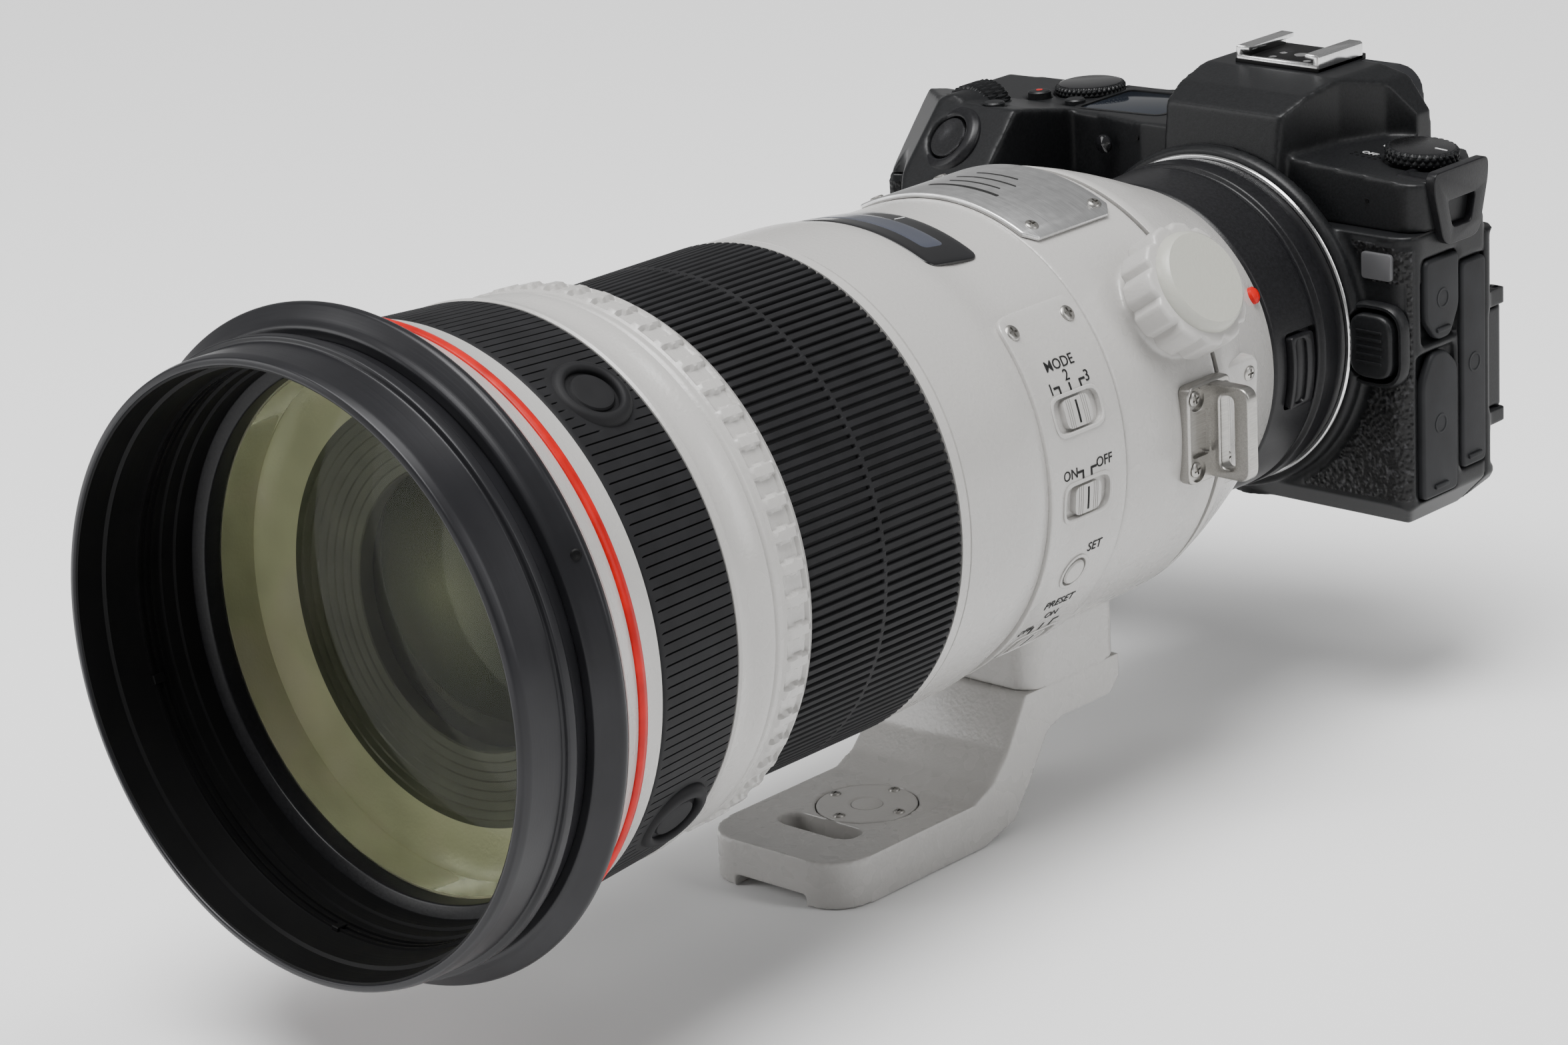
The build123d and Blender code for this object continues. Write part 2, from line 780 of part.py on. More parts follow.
def grip_block():
    """The hand grip: its side outline cut to its outline from above."""
    with BuildPart() as grip:
        with BuildSketch(Plane.YZ.offset(BODY_RIGHT)):
            with BuildLine():
                Polyline(
                    (134.0, BODY_BOTTOM),
                    (95.0, BODY_BOTTOM),
                    (91.0, 50.0),
                    (90.0, 64.0),
                    (90.0, 86.0),
                    (92.0, 97.0),
                    (96.5, 106.5),
                    (102.5, 113.1),
                    (112.6, 125.4),
                    (118.0, 124.6),
                    (134.0, 121.6),
                    close=True,
                )
            make_face()
        extrude(amount=40.0)
        with BuildSketch(Plane.XY.offset(BODY_BOTTOM)):
            with BuildLine():
                Polyline(
                    (BODY_RIGHT, 125.5),
                    (BODY_RIGHT, 134.0),
                    (-46.0, 134.0),
                    (-48.0, 108.0),
                )
                Spline(
                    (-48.0, 108.0),
                    (-51.5, 95.5),
                    (-60.0, 90.0),
                    (-69.5, 98.6),
                    (-80.5, 111.8),
                    (BODY_RIGHT, 125.5),
                    tangents=((-0.08, -1.0), (-0.1, 1.0)),
                )
            make_face()
        extrude(amount=90.0, mode=Mode.INTERSECT)
        outer = Plane(origin=(-80.0, 110.4, 110.0), x_dir=(0.6667, -0.7453, 0), z_dir=(-0.7453, -0.6667, 0.62))
        add(slab(outer, 120.0, 120.0, 1.0, 60.0), mode=Mode.SUBTRACT)
    return grip.part


def wedge(first, second, third, span, along):
    """A three-sided bar, for cutting a slope along one of the body's straight edges."""
    plane = {"X": Plane.YZ, "Y": Plane.XZ, "Z": Plane.XY}[along].offset(-span[1] if along == "Y" else span[0])
    with BuildPart() as bar:
        with BuildSketch(plane):
            with BuildLine():
                Polyline(first, second, third, close=True)
            make_face()
        extrude(amount=span[1] - span[0])
    return bar.part


FRONT_EDGE = wedge((122.0, 48.6), (122.0, 40.0), (133.2, 40.0), (-45.5, 60), "X")
SIDE_EDGE = wedge((49.8, 48.8), (49.8, 40.0), (41.2, 40.0), (100, 180), "Y")
BACK_EDGE = wedge((157.2, 47.0), (157.2, 40.0), (150.4, 40.0), (-100, 60), "X")
LEFT_CORNER = wedge((49.8, 153.2), (49.8, 158.0), (45.0, 158.0), (30, 103), "Z")
SHOULDER = wedge((50.4, 145.6), (60.0, 168.0), (31.0, 168.0), (103, 140), "Z")
PORTS = {                   # y range, z range of each port cover
    "remote_cover": ((128.0, 140.6), (83.0, 101.0)),
    "mic_cover": ((126.8, 139.6), (48.5, 80.5)),
    "usb_cover": ((141.6, 150.6), (52.0, 98.0)),
}
BATTERY = ((-75.0, -54.0), (111.0, 149.0), (44.2, 100.0))
BATTERY_DOOR = ((-76.4, -52.4), (109.5, 148.5))
CARD_DOOR = ((127.0, 148.0), (60.0, 100.0))
LID = 1.8                   # thickness of the two doors
RELEASE_BUTTON = (41.0, 83.4)
MOUNT_COLLAR = 38.0
THROAT = 27.0

with BuildPart() as body_shell:
    extrude(body_plan(Plane.XY.offset(BODY_BOTTOM), BODY_FRONT, 0.4), amount=TOP_JOINT - BODY_BOTTOM)
    add(grip_block())
    add(block((-100, 60), (80, 160), (TOP_JOINT, 140)), mode=Mode.SUBTRACT)
    revolve(
        section(
            (119.8, 20),
            (119.8, MOUNT_COLLAR - 0.8),
            (121.0, MOUNT_COLLAR),
            (BODY_FRONT, MOUNT_COLLAR),
            (BODY_FRONT, 20),
        ),
        axis=LENS_AXIS,
    )
    for edge in (FRONT_EDGE, SIDE_EDGE):
        add(edge, mode=Mode.SUBTRACT)
    add(block((-43.0, 39.0), (134.0, 160), (BODY_BOTTOM + WALL, 52)), mode=Mode.SUBTRACT)
    add(block((-43.0, 45.0), (130.0, 160), (50, 120)), mode=Mode.SUBTRACT)
    with BuildSketch(Plane.XY.offset(BODY_BOTTOM + WALL)):
        with BuildLine():
            Polyline(
                (-83.5, 160.0),
                (-83.5, 126.0),
                (-77.0, 111.5),
                (-68.0, 102.0),
                (-61.0, 95.5),
                (-54.0, 98.0),
                (-51.0, 108.0),
                (-50.0, 160.0),
                close=True,
            )
        make_face()
    extrude(amount=104.0 - BODY_BOTTOM - WALL, mode=Mode.SUBTRACT)
    add(block((-84.0, -40.0), (133.5, 160), (BODY_BOTTOM + WALL, 120)), mode=Mode.SUBTRACT)
    revolve(
        section((119.0, 0), (119.0, 34.7), (122.4, 34.7), (122.4, THROAT), (131.0, THROAT), (131.0, 0)),
        axis=LENS_AXIS,
        mode=Mode.SUBTRACT,
    )
    for (y_range, z_range) in PORTS.values():
        add(
            block((47.2, 52), (y_range[0] - GAP, y_range[1] + GAP), (z_range[0] - GAP, z_range[1] + GAP)),
            mode=Mode.SUBTRACT,
        )
    add(
        block(
            (BATTERY_DOOR[0][0] - GAP, BATTERY_DOOR[0][1] + GAP),
            (BATTERY_DOOR[1][0] - GAP, BATTERY_DOOR[1][1] + GAP),
            (BODY_BOTTOM - 1, BODY_BOTTOM + WALL + 1),
        ),
        mode=Mode.SUBTRACT,
    )
    add(
        block(
            (-88, -83),
            (CARD_DOOR[0][0] - GAP, CARD_DOOR[0][1] + GAP),
            (CARD_DOOR[1][0] - GAP, CARD_DOOR[1][1] + GAP),
        ),
        mode=Mode.SUBTRACT,
    )
    add(
        slab(
            Plane(origin=(RELEASE_BUTTON[0], 118.0, RELEASE_BUTTON[1]), x_dir=(1, 0, 0), z_dir=(0, 1, 0)),
            11.6,
            14.6,
            3.0,
            16.0,
        ),
        mode=Mode.SUBTRACT,
    )
    with BuildSketch(Plane.XY.offset(BODY_BOTTOM)):
        with Locations((0, BODY_MOUNT + SENSOR_DEPTH - 2)):
            Circle(8.0)
    extrude(amount=8.0)
    with BuildSketch(Plane.XY.offset(BODY_BOTTOM)):
        with Locations((0, BODY_MOUNT + SENSOR_DEPTH - 2)):
            Circle(SOCKET_DRILL)
    extrude(amount=6.0, mode=Mode.SUBTRACT)
save(body_shell, "body_shell")

HUMP_TOP = 134.0
HUMP_FRONT = BODY_FRONT
LEFT_DECK = (119.9, 117.5)  # deck height beside the hump and at the port side
RIGHT_DECK = (122.9, 120.1)  # deck height beside the hump and at the grip side
DISPLAY_PLANE = Plane(origin=(-36.0, 143.5, 122.06), x_dir=(1, 0, 0.04), z_dir=(-0.04, 0, 1))
POWER_DIAL = (38.0, 144.0)
REAR_DIAL = (-56.0, 149.5)
DIAL_RADIUS = 8.0
DIAL_SHAFT = 2.0
FRONT_DIAL = (-67.0, 120.3)
FRONT_DIAL_STATIONS = (121.6, 125.2)
FRONT_DIAL_RADIUS = 6.9
SHUTTER_PLANE = Plane(origin=SHUTTER, x_dir=(1, -0.2268, 0), z_dir=SHUTTER_NORMAL)
SHUTTER_RADIUS = 5.0
ROUND_BUTTONS = {           # centre x, centre y, radius, top
    "mfn_button": (-56.5, 116.0, 2.4, 125.6),
    "record_button": (-62.6, 139.4, 2.6, 122.6),
    "lamp_button": (-50.6, 137.2, 2.3, 122.6),
}
EYEPIECE = (-11.0, 11.0)
SHOE = (144.0, 162.0)


def hump_block():
    """The viewfinder housing: its outlines from the side, from above and from the front."""
    with BuildPart() as hump:
        with BuildSketch(Plane.YZ.offset(-34)):
            with BuildLine():
                Polyline(
                    (HUMP_FRONT, TOP_JOINT),
                    (HUMP_FRONT, 118.2),
                    (124.6, 129.0),
                    (132.0, 132.0),
                    (142.0, HUMP_TOP),
                    (159.0, HUMP_TOP),
                    (163.0, 131.0),
                    (164.0, 112.0),
                    (BODY_BACK, 109.0),
                    (BODY_BACK, TOP_JOINT),
                    close=True,
                )
            make_face()
        extrude(amount=68.0)
        with BuildSketch(Plane.XY.offset(TOP_JOINT)):
            with BuildLine():
                Polyline(
                    (-15.0, HUMP_FRONT),
                    (15.0, HUMP_FRONT),
                    (16.5, 130.0),
                    (18.0, 142.0),
                    (22.0, 154.0),
                    (27.0, 158.0),
                    (27.0, 164.0),
                    (-27.0, 164.0),
                    (-27.0, 158.0),
                    (-22.0, 154.0),
                    (-18.0, 142.0),
                    (-16.5, 130.0),
                    close=True,
                )
            make_face()
        extrude(amount=40.0, mode=Mode.INTERSECT)
        with BuildSketch(Plane.XZ.offset(-80)):
            with BuildLine():
                Polyline(
                    (-32.0, TOP_JOINT),
                    (-27.0, 124.0),
                    (-21.5, 131.5),
                    (-15.5, HUMP_TOP + 1),
                    (15.5, HUMP_TOP + 1),
                    (21.5, 131.5),
                    (27.0, 124.0),
                    (32.0, TOP_JOINT),
                    close=True,
                )
            make_face()
        extrude(amount=-100.0, mode=Mode.INTERSECT)
    return hump.part


def deck_cut():
    """What is cut away above the two sloping shoulders."""
    with BuildPart() as cut:
        with BuildSketch(Plane.XZ.offset(-80)):
            with BuildLine():
                Polyline(
                    (0.0, RIGHT_DECK[0] + 5),
                    (0.0, RIGHT_DECK[0]),
                    (-16.0, RIGHT_DECK[0]),
                    (BODY_RIGHT - 1, RIGHT_DECK[1]),
                    (BODY_RIGHT - 1, RIGHT_DECK[0] + 5),
                    close=True,
                )
            make_face()
            with BuildLine():
                Polyline(
                    (0.0, RIGHT_DECK[0] + 5),
                    (0.0, LEFT_DECK[0]),
                    (15.0, LEFT_DECK[0]),
                    (BODY_LEFT + 1, LEFT_DECK[1]),
                    (BODY_LEFT + 1, RIGHT_DECK[0] + 5),
                    close=True,
                )
            make_face()
        extrude(amount=-100.0)
    return cut.part


with BuildPart() as top_cover:
    extrude(body_plan(Plane.XY.offset(TOP_JOINT), COVER_FRONT, 5.0), amount=RIGHT_DECK[0] - TOP_JOINT + 1)
    add(block((BODY_RIGHT, BODY_LEFT), (COVER_JOINT, BODY_BACK), (TOP_JOINT, RIGHT_DECK[0] + 1)))
    add(deck_cut(), mode=Mode.SUBTRACT)
    add(SHOULDER, mode=Mode.SUBTRACT)
    add(grip_block())
    add(disc(Plane(origin=(FRONT_DIAL[0] + 1, 113.0, 121.0), z_dir=(0, 1, 0)), 5.6, 8.3))
    add(block((-100, 60), (80, 160), (20, TOP_JOINT)), mode=Mode.SUBTRACT)
    add(hump_block())
    revolve(
        section((119.0, 0), (119.0, THROAT), (131.0, THROAT), (131.0, 0)),
        axis=LENS_AXIS,
        mode=Mode.SUBTRACT,
    )
    add(block((-80.0, 44.0), (134.5, 154.5), (TOP_JOINT - 1, 114.5)), mode=Mode.SUBTRACT)
    add(block((-12.0, 12.0), (130.0, 150.0), (TOP_JOINT - 1, 126.0)), mode=Mode.SUBTRACT)
    add(block((EYEPIECE[0], EYEPIECE[1]), (148.0, 170.0), (113.0, 127.0)), mode=Mode.SUBTRACT)
    add(slab(DISPLAY_PLANE, 22.8, 19.0, 0.8, 3.0), mode=Mode.SUBTRACT)
    add(slab(DISPLAY_PLANE, 22.8, 19.0, 0.8, -1.2), mode=Mode.SUBTRACT)
    add(disc(Plane(origin=(POWER_DIAL[0], POWER_DIAL[1], 117.0)), DIAL_RADIUS + GAP, 9.0), mode=Mode.SUBTRACT)
    add(disc(Plane(origin=(POWER_DIAL[0], POWER_DIAL[1], 110.0)), DIAL_SHAFT + 0.05, 9.0), mode=Mode.SUBTRACT)
    add(disc(Plane(origin=(REAR_DIAL[0], REAR_DIAL[1], 119.4)), DIAL_RADIUS + GAP, 9.0), mode=Mode.SUBTRACT)
    add(disc(Plane(origin=(REAR_DIAL[0], REAR_DIAL[1], 110.0)), DIAL_SHAFT + 0.05, 12.0), mode=Mode.SUBTRACT)
    add(
        block(
            (FRONT_DIAL[0] - FRONT_DIAL_RADIUS - GAP, FRONT_DIAL[0] + FRONT_DIAL_RADIUS + GAP),
            (FRONT_DIAL_STATIONS[0] - GAP, FRONT_DIAL_STATIONS[1] + GAP),
            (FRONT_DIAL[1] - FRONT_DIAL_RADIUS - GAP, 140),
        ),
        mode=Mode.SUBTRACT,
    )
    add(
        disc(Plane(origin=(FRONT_DIAL[0], 118.0, FRONT_DIAL[1]), z_dir=(0, 1, 0)), DIAL_SHAFT + 0.05, 11.0),
        mode=Mode.SUBTRACT,
    )
    add(disc(SHUTTER_PLANE.offset(-3.0), SHUTTER_RADIUS + GAP, 9.0), mode=Mode.SUBTRACT)
    for (x, y, radius, top) in ROUND_BUTTONS.values():
        add(disc(Plane(origin=(x, y, top - 4.0)), radius + GAP, 9.0), mode=Mode.SUBTRACT)
save(top_cover, "top_cover")

SCREEN = ((-32.0, 40.0), (153.8, 159.2), (50.0, 102.0))
ARM = ((40.6, 47.4), (153.8, 159.2), (62.0, 84.0))
SCREEN_PIN = (46.2, 158.4)
PIN = 1.0
LUG = 4.0
with BuildPart() as rear_cover:
    add(block((BODY_RIGHT, BODY_LEFT), (COVER_JOINT, BODY_BACK - 0.5), (BODY_BOTTOM, TOP_JOINT)))
    for edge in (SIDE_EDGE, BACK_EDGE, LEFT_CORNER, SHOULDER):
        add(edge, mode=Mode.SUBTRACT)
    add(block((-84.0, -46.0), (BODY_BACK - 0.5, BODY_BACK + 2.0), (90.0, TOP_JOINT)))
    add(
        block(
            (SCREEN[0][0] - GAP, 60),
            (SCREEN[1][0] - GAP, 170),
            (SCREEN[2][0] - GAP, SCREEN[2][1] + GAP),
        ),
        mode=Mode.SUBTRACT,
    )
    add(block((ARM[0][0], 60), (153.0, 170), (ARM[2][0] - GAP, ARM[2][1] + GAP)), mode=Mode.SUBTRACT)
    for bottom in (ARM[2][0] - GAP - LUG, ARM[2][1] + GAP):
        add(block((44.4, 48.0), (152.0, 159.9), (bottom, bottom + LUG)))
    add(disc(Plane(origin=(*SCREEN_PIN, ARM[2][0] - LUG)), PIN + 0.05, 2 * LUG + 24), mode=Mode.SUBTRACT)
save(rear_cover, "rear_cover")

with BuildPart() as screen_arm:
    add(block(*ARM))
    add(disc(Plane(origin=(*SCREEN_PIN, ARM[2][0] - 2.5)), PIN, ARM[2][1] - ARM[2][0] + 5.0))
save(screen_arm, "screen_arm")

with BuildPart() as rear_screen:
    add(block(*SCREEN))
save(rear_screen, "rear_screen")

PAD = (-64.0, 76.0)
PAD_PLANE = Plane(origin=(PAD[0], BODY_BACK - 1.5, PAD[1]), z_dir=(0, 1, 0))
with BuildPart() as rear_pad:
    add(disc(PAD_PLANE.offset(1.3), 9.0, 1.4))
save(rear_pad, "rear_pad")

with BuildPart() as mount_ring:
    revolve(
        section((BODY_MOUNT, THROAT), (BODY_MOUNT, 34.5), (122.4, 34.5), (122.4, THROAT)),
        axis=LENS_AXIS,
    )
save(mount_ring, "mount_ring")

with BuildPart() as hot_shoe:
    add(block((-11.0, 11.0), SHOE, (HUMP_TOP, HUMP_TOP + 0.7)))
    for side in (1, -1):
        add(block(sorted((side * 9.3, side * 11.0)), SHOE, (HUMP_TOP, HUMP_TOP + 3.8)))
        add(block(sorted((side * 6.4, side * 11.0)), SHOE, (HUMP_TOP + 2.9, HUMP_TOP + 3.8)))
    add(block((-12, 12), (158.9, 163), (HUMP_TOP - 1, HUMP_TOP + 0.7)), mode=Mode.SUBTRACT)
save(hot_shoe, "hot_shoe")

with BuildPart() as top_display:
    add(slab(DISPLAY_PLANE.offset(-1.2), 22.4, 18.6, 0.7, 0.8))
save(top_display, "top_display")

with BuildPart() as sensor_unit:
    add(block((-30.0, 30.0), (130.0, 148.0), (58.0, 105.5)))
    add(block((-18.5, 18.5), (129.0, 140.0), (AXIS_HEIGHT - 12.5, AXIS_HEIGHT + 12.5)), mode=Mode.SUBTRACT)
save(sensor_unit, "sensor_unit")

with BuildPart() as battery:
    add(block(*BATTERY))
save(battery, "battery")

with BuildPart() as battery_door:
    add(
        flap(
            (
                (BATTERY_DOOR[0][0] + LID / 2, BATTERY_DOOR[0][1]),
                BATTERY_DOOR[1],
                (BODY_BOTTOM, BODY_BOTTOM + LID),
            ),
            (BATTERY_DOOR[0][0] + LID / 2, 0, BODY_BOTTOM + LID / 2),
            "Y",
            LID / 2,
        )
    )
save(battery_door, "battery_door")

with BuildPart() as card_door:
    add(
        flap(
            (
                (BODY_RIGHT, BODY_RIGHT + LID),
                (CARD_DOOR[0][0], CARD_DOOR[0][1] - LID / 2),
                CARD_DOOR[1],
            ),
            (BODY_RIGHT + LID / 2, CARD_DOOR[0][1] - LID / 2, 0),
            "Z",
            LID / 2,
        )
    )
save(card_door, "card_door")

for label, (y_range, z_range) in PORTS.items():
    with BuildPart() as cover:
        add(
            flap(
                ((BODY_LEFT - 1.6, BODY_LEFT + 0.4), (y_range[0] + 1.0, y_range[1]), z_range),
                (BODY_LEFT - 0.6, y_range[0] + 1.0, 0),
                "Z",
                1.0,
            )
        )
    save(cover, label)

with BuildPart() as eyecup:
    add(block((-21.0, 21.0), (164.0, 169.6), (108.0, 131.5)))
    fillet(eyecup.edges().filter_by(Axis.Y), radius=6)
    add(block((EYEPIECE[0] - 1, EYEPIECE[1] + 1), (150.0, 171.0), (112.0, 128.0)), mode=Mode.SUBTRACT)
save(eyecup, "eyecup")

with BuildPart() as power_dial:
    add(disc(Plane(origin=(POWER_DIAL[0], POWER_DIAL[1], 117.3)), DIAL_RADIUS, 4.2))
    add(disc(Plane(origin=(POWER_DIAL[0], POWER_DIAL[1], 112.5)), DIAL_SHAFT, 5.0))
save(power_dial, "power_dial")

with BuildPart() as rear_dial:
    add(disc(Plane(origin=(REAR_DIAL[0], REAR_DIAL[1], 119.7)), DIAL_RADIUS, 3.5))
    add(disc(Plane(origin=(REAR_DIAL[0], REAR_DIAL[1], 112.5)), DIAL_SHAFT, 8.0))
save(rear_dial, "rear_dial")

with BuildPart() as front_dial:
    add(
        disc(
            Plane(origin=(FRONT_DIAL[0], FRONT_DIAL_STATIONS[0], FRONT_DIAL[1]), z_dir=(0, 1, 0)),
            FRONT_DIAL_RADIUS,
            FRONT_DIAL_STATIONS[1] - FRONT_DIAL_STATIONS[0],
        )
    )
    add(disc(Plane(origin=(FRONT_DIAL[0], 119.0, FRONT_DIAL[1]), z_dir=(0, 1, 0)), DIAL_SHAFT, 9.0))
save(front_dial, "front_dial")

with BuildPart() as shutter_button:
    add(disc(SHUTTER_PLANE.offset(-1.8), SHUTTER_RADIUS, 2.6))
save(shutter_button, "shutter_button")

for label, (x, y, radius, top) in ROUND_BUTTONS.items():
    with BuildPart() as button:
        add(disc(Plane(origin=(x, y, top - 2.6)), radius, 2.6))
    save(button, label)

with BuildPart() as lens_release:
    add(
        slab(
            Plane(origin=(RELEASE_BUTTON[0], 119.6, RELEASE_BUTTON[1]), x_dir=(1, 0, 0), z_dir=(0, 1, 0)),
            11.0,
            14.0,
            2.8,
            9.0,
        )
    )
save(lens_release, "lens_release")
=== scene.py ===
"""The look of a mirrorless camera with a mount adapter and a 300 mm telephoto lens.

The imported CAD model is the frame. Lengths are millimetres until MM turns them into metres. On the
lens a place is (angle, radius, station): degrees about the lens axis from +X towards +Z, the
distance from the axis, and the distance along Y.
"""

import math

import bmesh
import bpy
from mathutils import Matrix, Vector


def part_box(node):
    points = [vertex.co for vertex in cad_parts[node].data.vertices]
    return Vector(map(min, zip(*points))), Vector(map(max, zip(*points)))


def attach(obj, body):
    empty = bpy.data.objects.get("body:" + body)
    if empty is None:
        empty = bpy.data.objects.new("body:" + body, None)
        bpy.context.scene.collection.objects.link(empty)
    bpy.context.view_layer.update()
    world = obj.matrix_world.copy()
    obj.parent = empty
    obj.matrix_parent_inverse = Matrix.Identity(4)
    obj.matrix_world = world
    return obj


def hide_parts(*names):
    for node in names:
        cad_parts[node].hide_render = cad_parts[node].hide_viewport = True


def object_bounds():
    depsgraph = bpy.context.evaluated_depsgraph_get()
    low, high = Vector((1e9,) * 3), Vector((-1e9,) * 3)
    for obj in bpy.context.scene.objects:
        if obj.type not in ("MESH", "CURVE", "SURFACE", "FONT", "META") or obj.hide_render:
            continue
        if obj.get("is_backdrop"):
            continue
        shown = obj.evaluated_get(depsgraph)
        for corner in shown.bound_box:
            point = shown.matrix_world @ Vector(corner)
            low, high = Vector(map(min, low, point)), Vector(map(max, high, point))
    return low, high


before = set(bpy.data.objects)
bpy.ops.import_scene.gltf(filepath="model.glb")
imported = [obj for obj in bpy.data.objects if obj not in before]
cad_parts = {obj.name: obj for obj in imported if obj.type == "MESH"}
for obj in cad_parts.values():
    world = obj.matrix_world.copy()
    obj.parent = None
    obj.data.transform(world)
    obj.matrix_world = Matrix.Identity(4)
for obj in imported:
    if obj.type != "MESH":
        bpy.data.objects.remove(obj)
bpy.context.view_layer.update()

MM = 0.001
TURN = 192                  # segments in a full turn
LENS = "lens_and_camera"
COLLAR = "collar"


def span(node):
    """The node's box as ((x0, x1), (y0, y1), (z0, z1)) in millimetres."""
    low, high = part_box(node)
    return tuple((low[i] / MM, high[i] / MM) for i in range(3))


def middle(pair):
    return (pair[0] + pair[1]) / 2


AXIS_Z = middle(span("front_glass")[2])


# ---------------------------------------------------------------- placing
def lens_point(angle, radius, station):
    a = math.radians(angle)
    return Vector((radius * math.cos(a), station, AXIS_Z + radius * math.sin(a)))


def facing(origin, normal, along):
    """A matrix whose Z is the normal and whose X lies along the given direction."""
    z = Vector(normal).normalized()
    x = Vector(along)
    x = (x - z * x.dot(z)).normalized()
    y = z.cross(x)
    turn = Matrix((x, y, z)).transposed().to_4x4()
    return Matrix.Translation(Vector(origin)) @ turn


def on_barrel(angle, radius, station):
    """A matrix that faces straight out of the barrel, its X along the lens axis."""
    a = math.radians(angle)
    return facing(lens_point(angle, radius, station), (math.cos(a), 0, math.sin(a)), (0, 1, 0))


# ---------------------------------------------------------------- outlines
def rounded(points, radius, steps=4):
    """The outline with each corner turned into a short curve."""
    result = []
    count = len(points)
    for i, corner in enumerate(points):
        here = Vector(corner)
        before = Vector(points[i - 1]) - here
        after = Vector(points[(i + 1) % count]) - here
        reach = min(radius, before.length * 0.45, after.length * 0.45)
        start = here + before.normalized() * reach
        end = here + after.normalized() * reach
        for k in range(steps + 1):
            t = k / steps
            result.append(tuple(start * (1 - t) ** 2 + here * 2 * t * (1 - t) + end * t**2))
    return result


def rectangle(width, height, corner, steps=5):
    w, h = width / 2, height / 2
    return rounded([(-w, -h), (w, -h), (w, h), (-w, h)], corner, steps)


def moved(outline, du, dv):
    return [(u + du, v + dv) for u, v in outline]


def circle(radius, count=48, centre=(0, 0)):
    step = math.tau / count
    return [
        (centre[0] + radius * math.cos(i * step), centre[1] + radius * math.sin(i * step))
        for i in range(count)
    ]


def mix(a, b, t):
    return a + (b - a) * t


def along(table, place):
    """The value at a place in a short list of (place, value) pairs, eased between them."""
    if place <= table[0][0]:
        return table[0][1]
    for (p0, v0), (p1, v1) in zip(table, table[1:]):
        if place <= p1:
            return mix(v0, v1, (place - p0) / (p1 - p0))
    return table[-1][1]


# ---------------------------------------------------------------- mesh tools
def shade(mesh, angle=35):
    """Smooth shading with sharp edges where faces meet at more than the angle."""
    mesh.polygons.foreach_set("use_smooth", [True] * len(mesh.polygons))
    mesh.set_sharp_from_angle(angle=math.radians(angle))
    mesh.update()


def add_mesh(name, verts, faces, look, smooth=35, matrix=None):
    """A new object from points in millimetres, its normals pointing out."""
    mesh = bpy.data.meshes.new(name)
    mesh.from_pydata([tuple(v) for v in verts], [], faces)
    form = bmesh.new()
    form.from_mesh(mesh)
    bmesh.ops.remove_doubles(form, verts=form.verts, dist=1e-5)
    bmesh.ops.recalc_face_normals(form, faces=form.faces)
    form.to_mesh(mesh)
    form.free()
    if matrix is not None:
        mesh.transform(matrix)
    mesh.transform(Matrix.Scale(MM, 4))
    mesh.materials.append(look)
    shade(mesh, smooth)
    obj = bpy.data.objects.new(name, mesh)
    bpy.context.collection.objects.link(obj)
    return obj


def piece(obj, body, stands_for=()):
    """Puts an object on a CAD body, in the place of the nodes that it stands for."""
    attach(obj, body)
    if stands_for:
        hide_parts(*stands_for)
    return obj


def put(obj, matrix):
    """Places an object that was made flat at the origin, by a matrix in millimetres."""
    obj.data.transform(Matrix.Scale(MM, 4) @ matrix @ Matrix.Scale(1 / MM, 4))
    return obj


def baked(obj, smooth=35):
    """Turns the object's modifiers into its own mesh."""
    graph = bpy.context.evaluated_depsgraph_get()
    mesh = bpy.data.meshes.new_from_object(obj.evaluated_get(graph))
    obj.modifiers.clear()
    obj.data = mesh
    shade(mesh, smooth)
    return obj


def bevelled(obj, width, segments=3, angle=40, smooth=35):
    """Rounds the object's sharp edges."""
    mod = obj.modifiers.new("bevel", "BEVEL")
    mod.width = width * MM
    mod.segments = segments
    mod.limit_method = "ANGLE"
    mod.angle_limit = math.radians(angle)
    return baked(obj, smooth)


def carve(obj, *tools):
    """Cuts the tools out of an object and removes them."""
    for tool in tools:
        mod = obj.modifiers.new("carve", "BOOLEAN")
        mod.operation = "DIFFERENCE"
        mod.solver = "EXACT"
        mod.object = tool
        baked(obj)
        bpy.data.objects.remove(tool)
    return obj


def joined(name, objects):
    """Several objects made one, keeping their materials."""
    form = bmesh.new()
    looks = []
    for obj in objects:
        first = len(form.faces)
        form.from_mesh(obj.data)
        form.faces.ensure_lookup_table()
        for face in form.faces[first:]:
            own = obj.data.materials[face.material_index]
            if own not in looks:
                looks.append(own)
            face.material_index = looks.index(own)
    mesh = bpy.data.meshes.new(name)
    form.to_mesh(mesh)
    form.free()
    for own in looks:
        mesh.materials.append(own)
    for obj in objects:
        bpy.data.objects.remove(obj)
    result = bpy.data.objects.new(name, mesh)
    bpy.context.collection.objects.link(result)
    shade(mesh)
    return result


def prism(name, outline, low, high, look, axis="Z"):
    """An outline pushed from low to high along an axis."""
    order = {"X": (2, 0, 1), "Y": (0, 2, 1), "Z": (0, 1, 2)}[axis]
    verts = []
    for level in (low, high):
        for u, v in outline:
            place = (u, v, level)
            verts.append(tuple(place[i] for i in order))
    count = len(outline)
    faces = [tuple(range(count)), tuple(range(count, 2 * count))]
    for i in range(count):
        j = (i + 1) % count
        faces.append((i, j, count + j, count + i))
    return add_mesh(name, verts, faces, look)


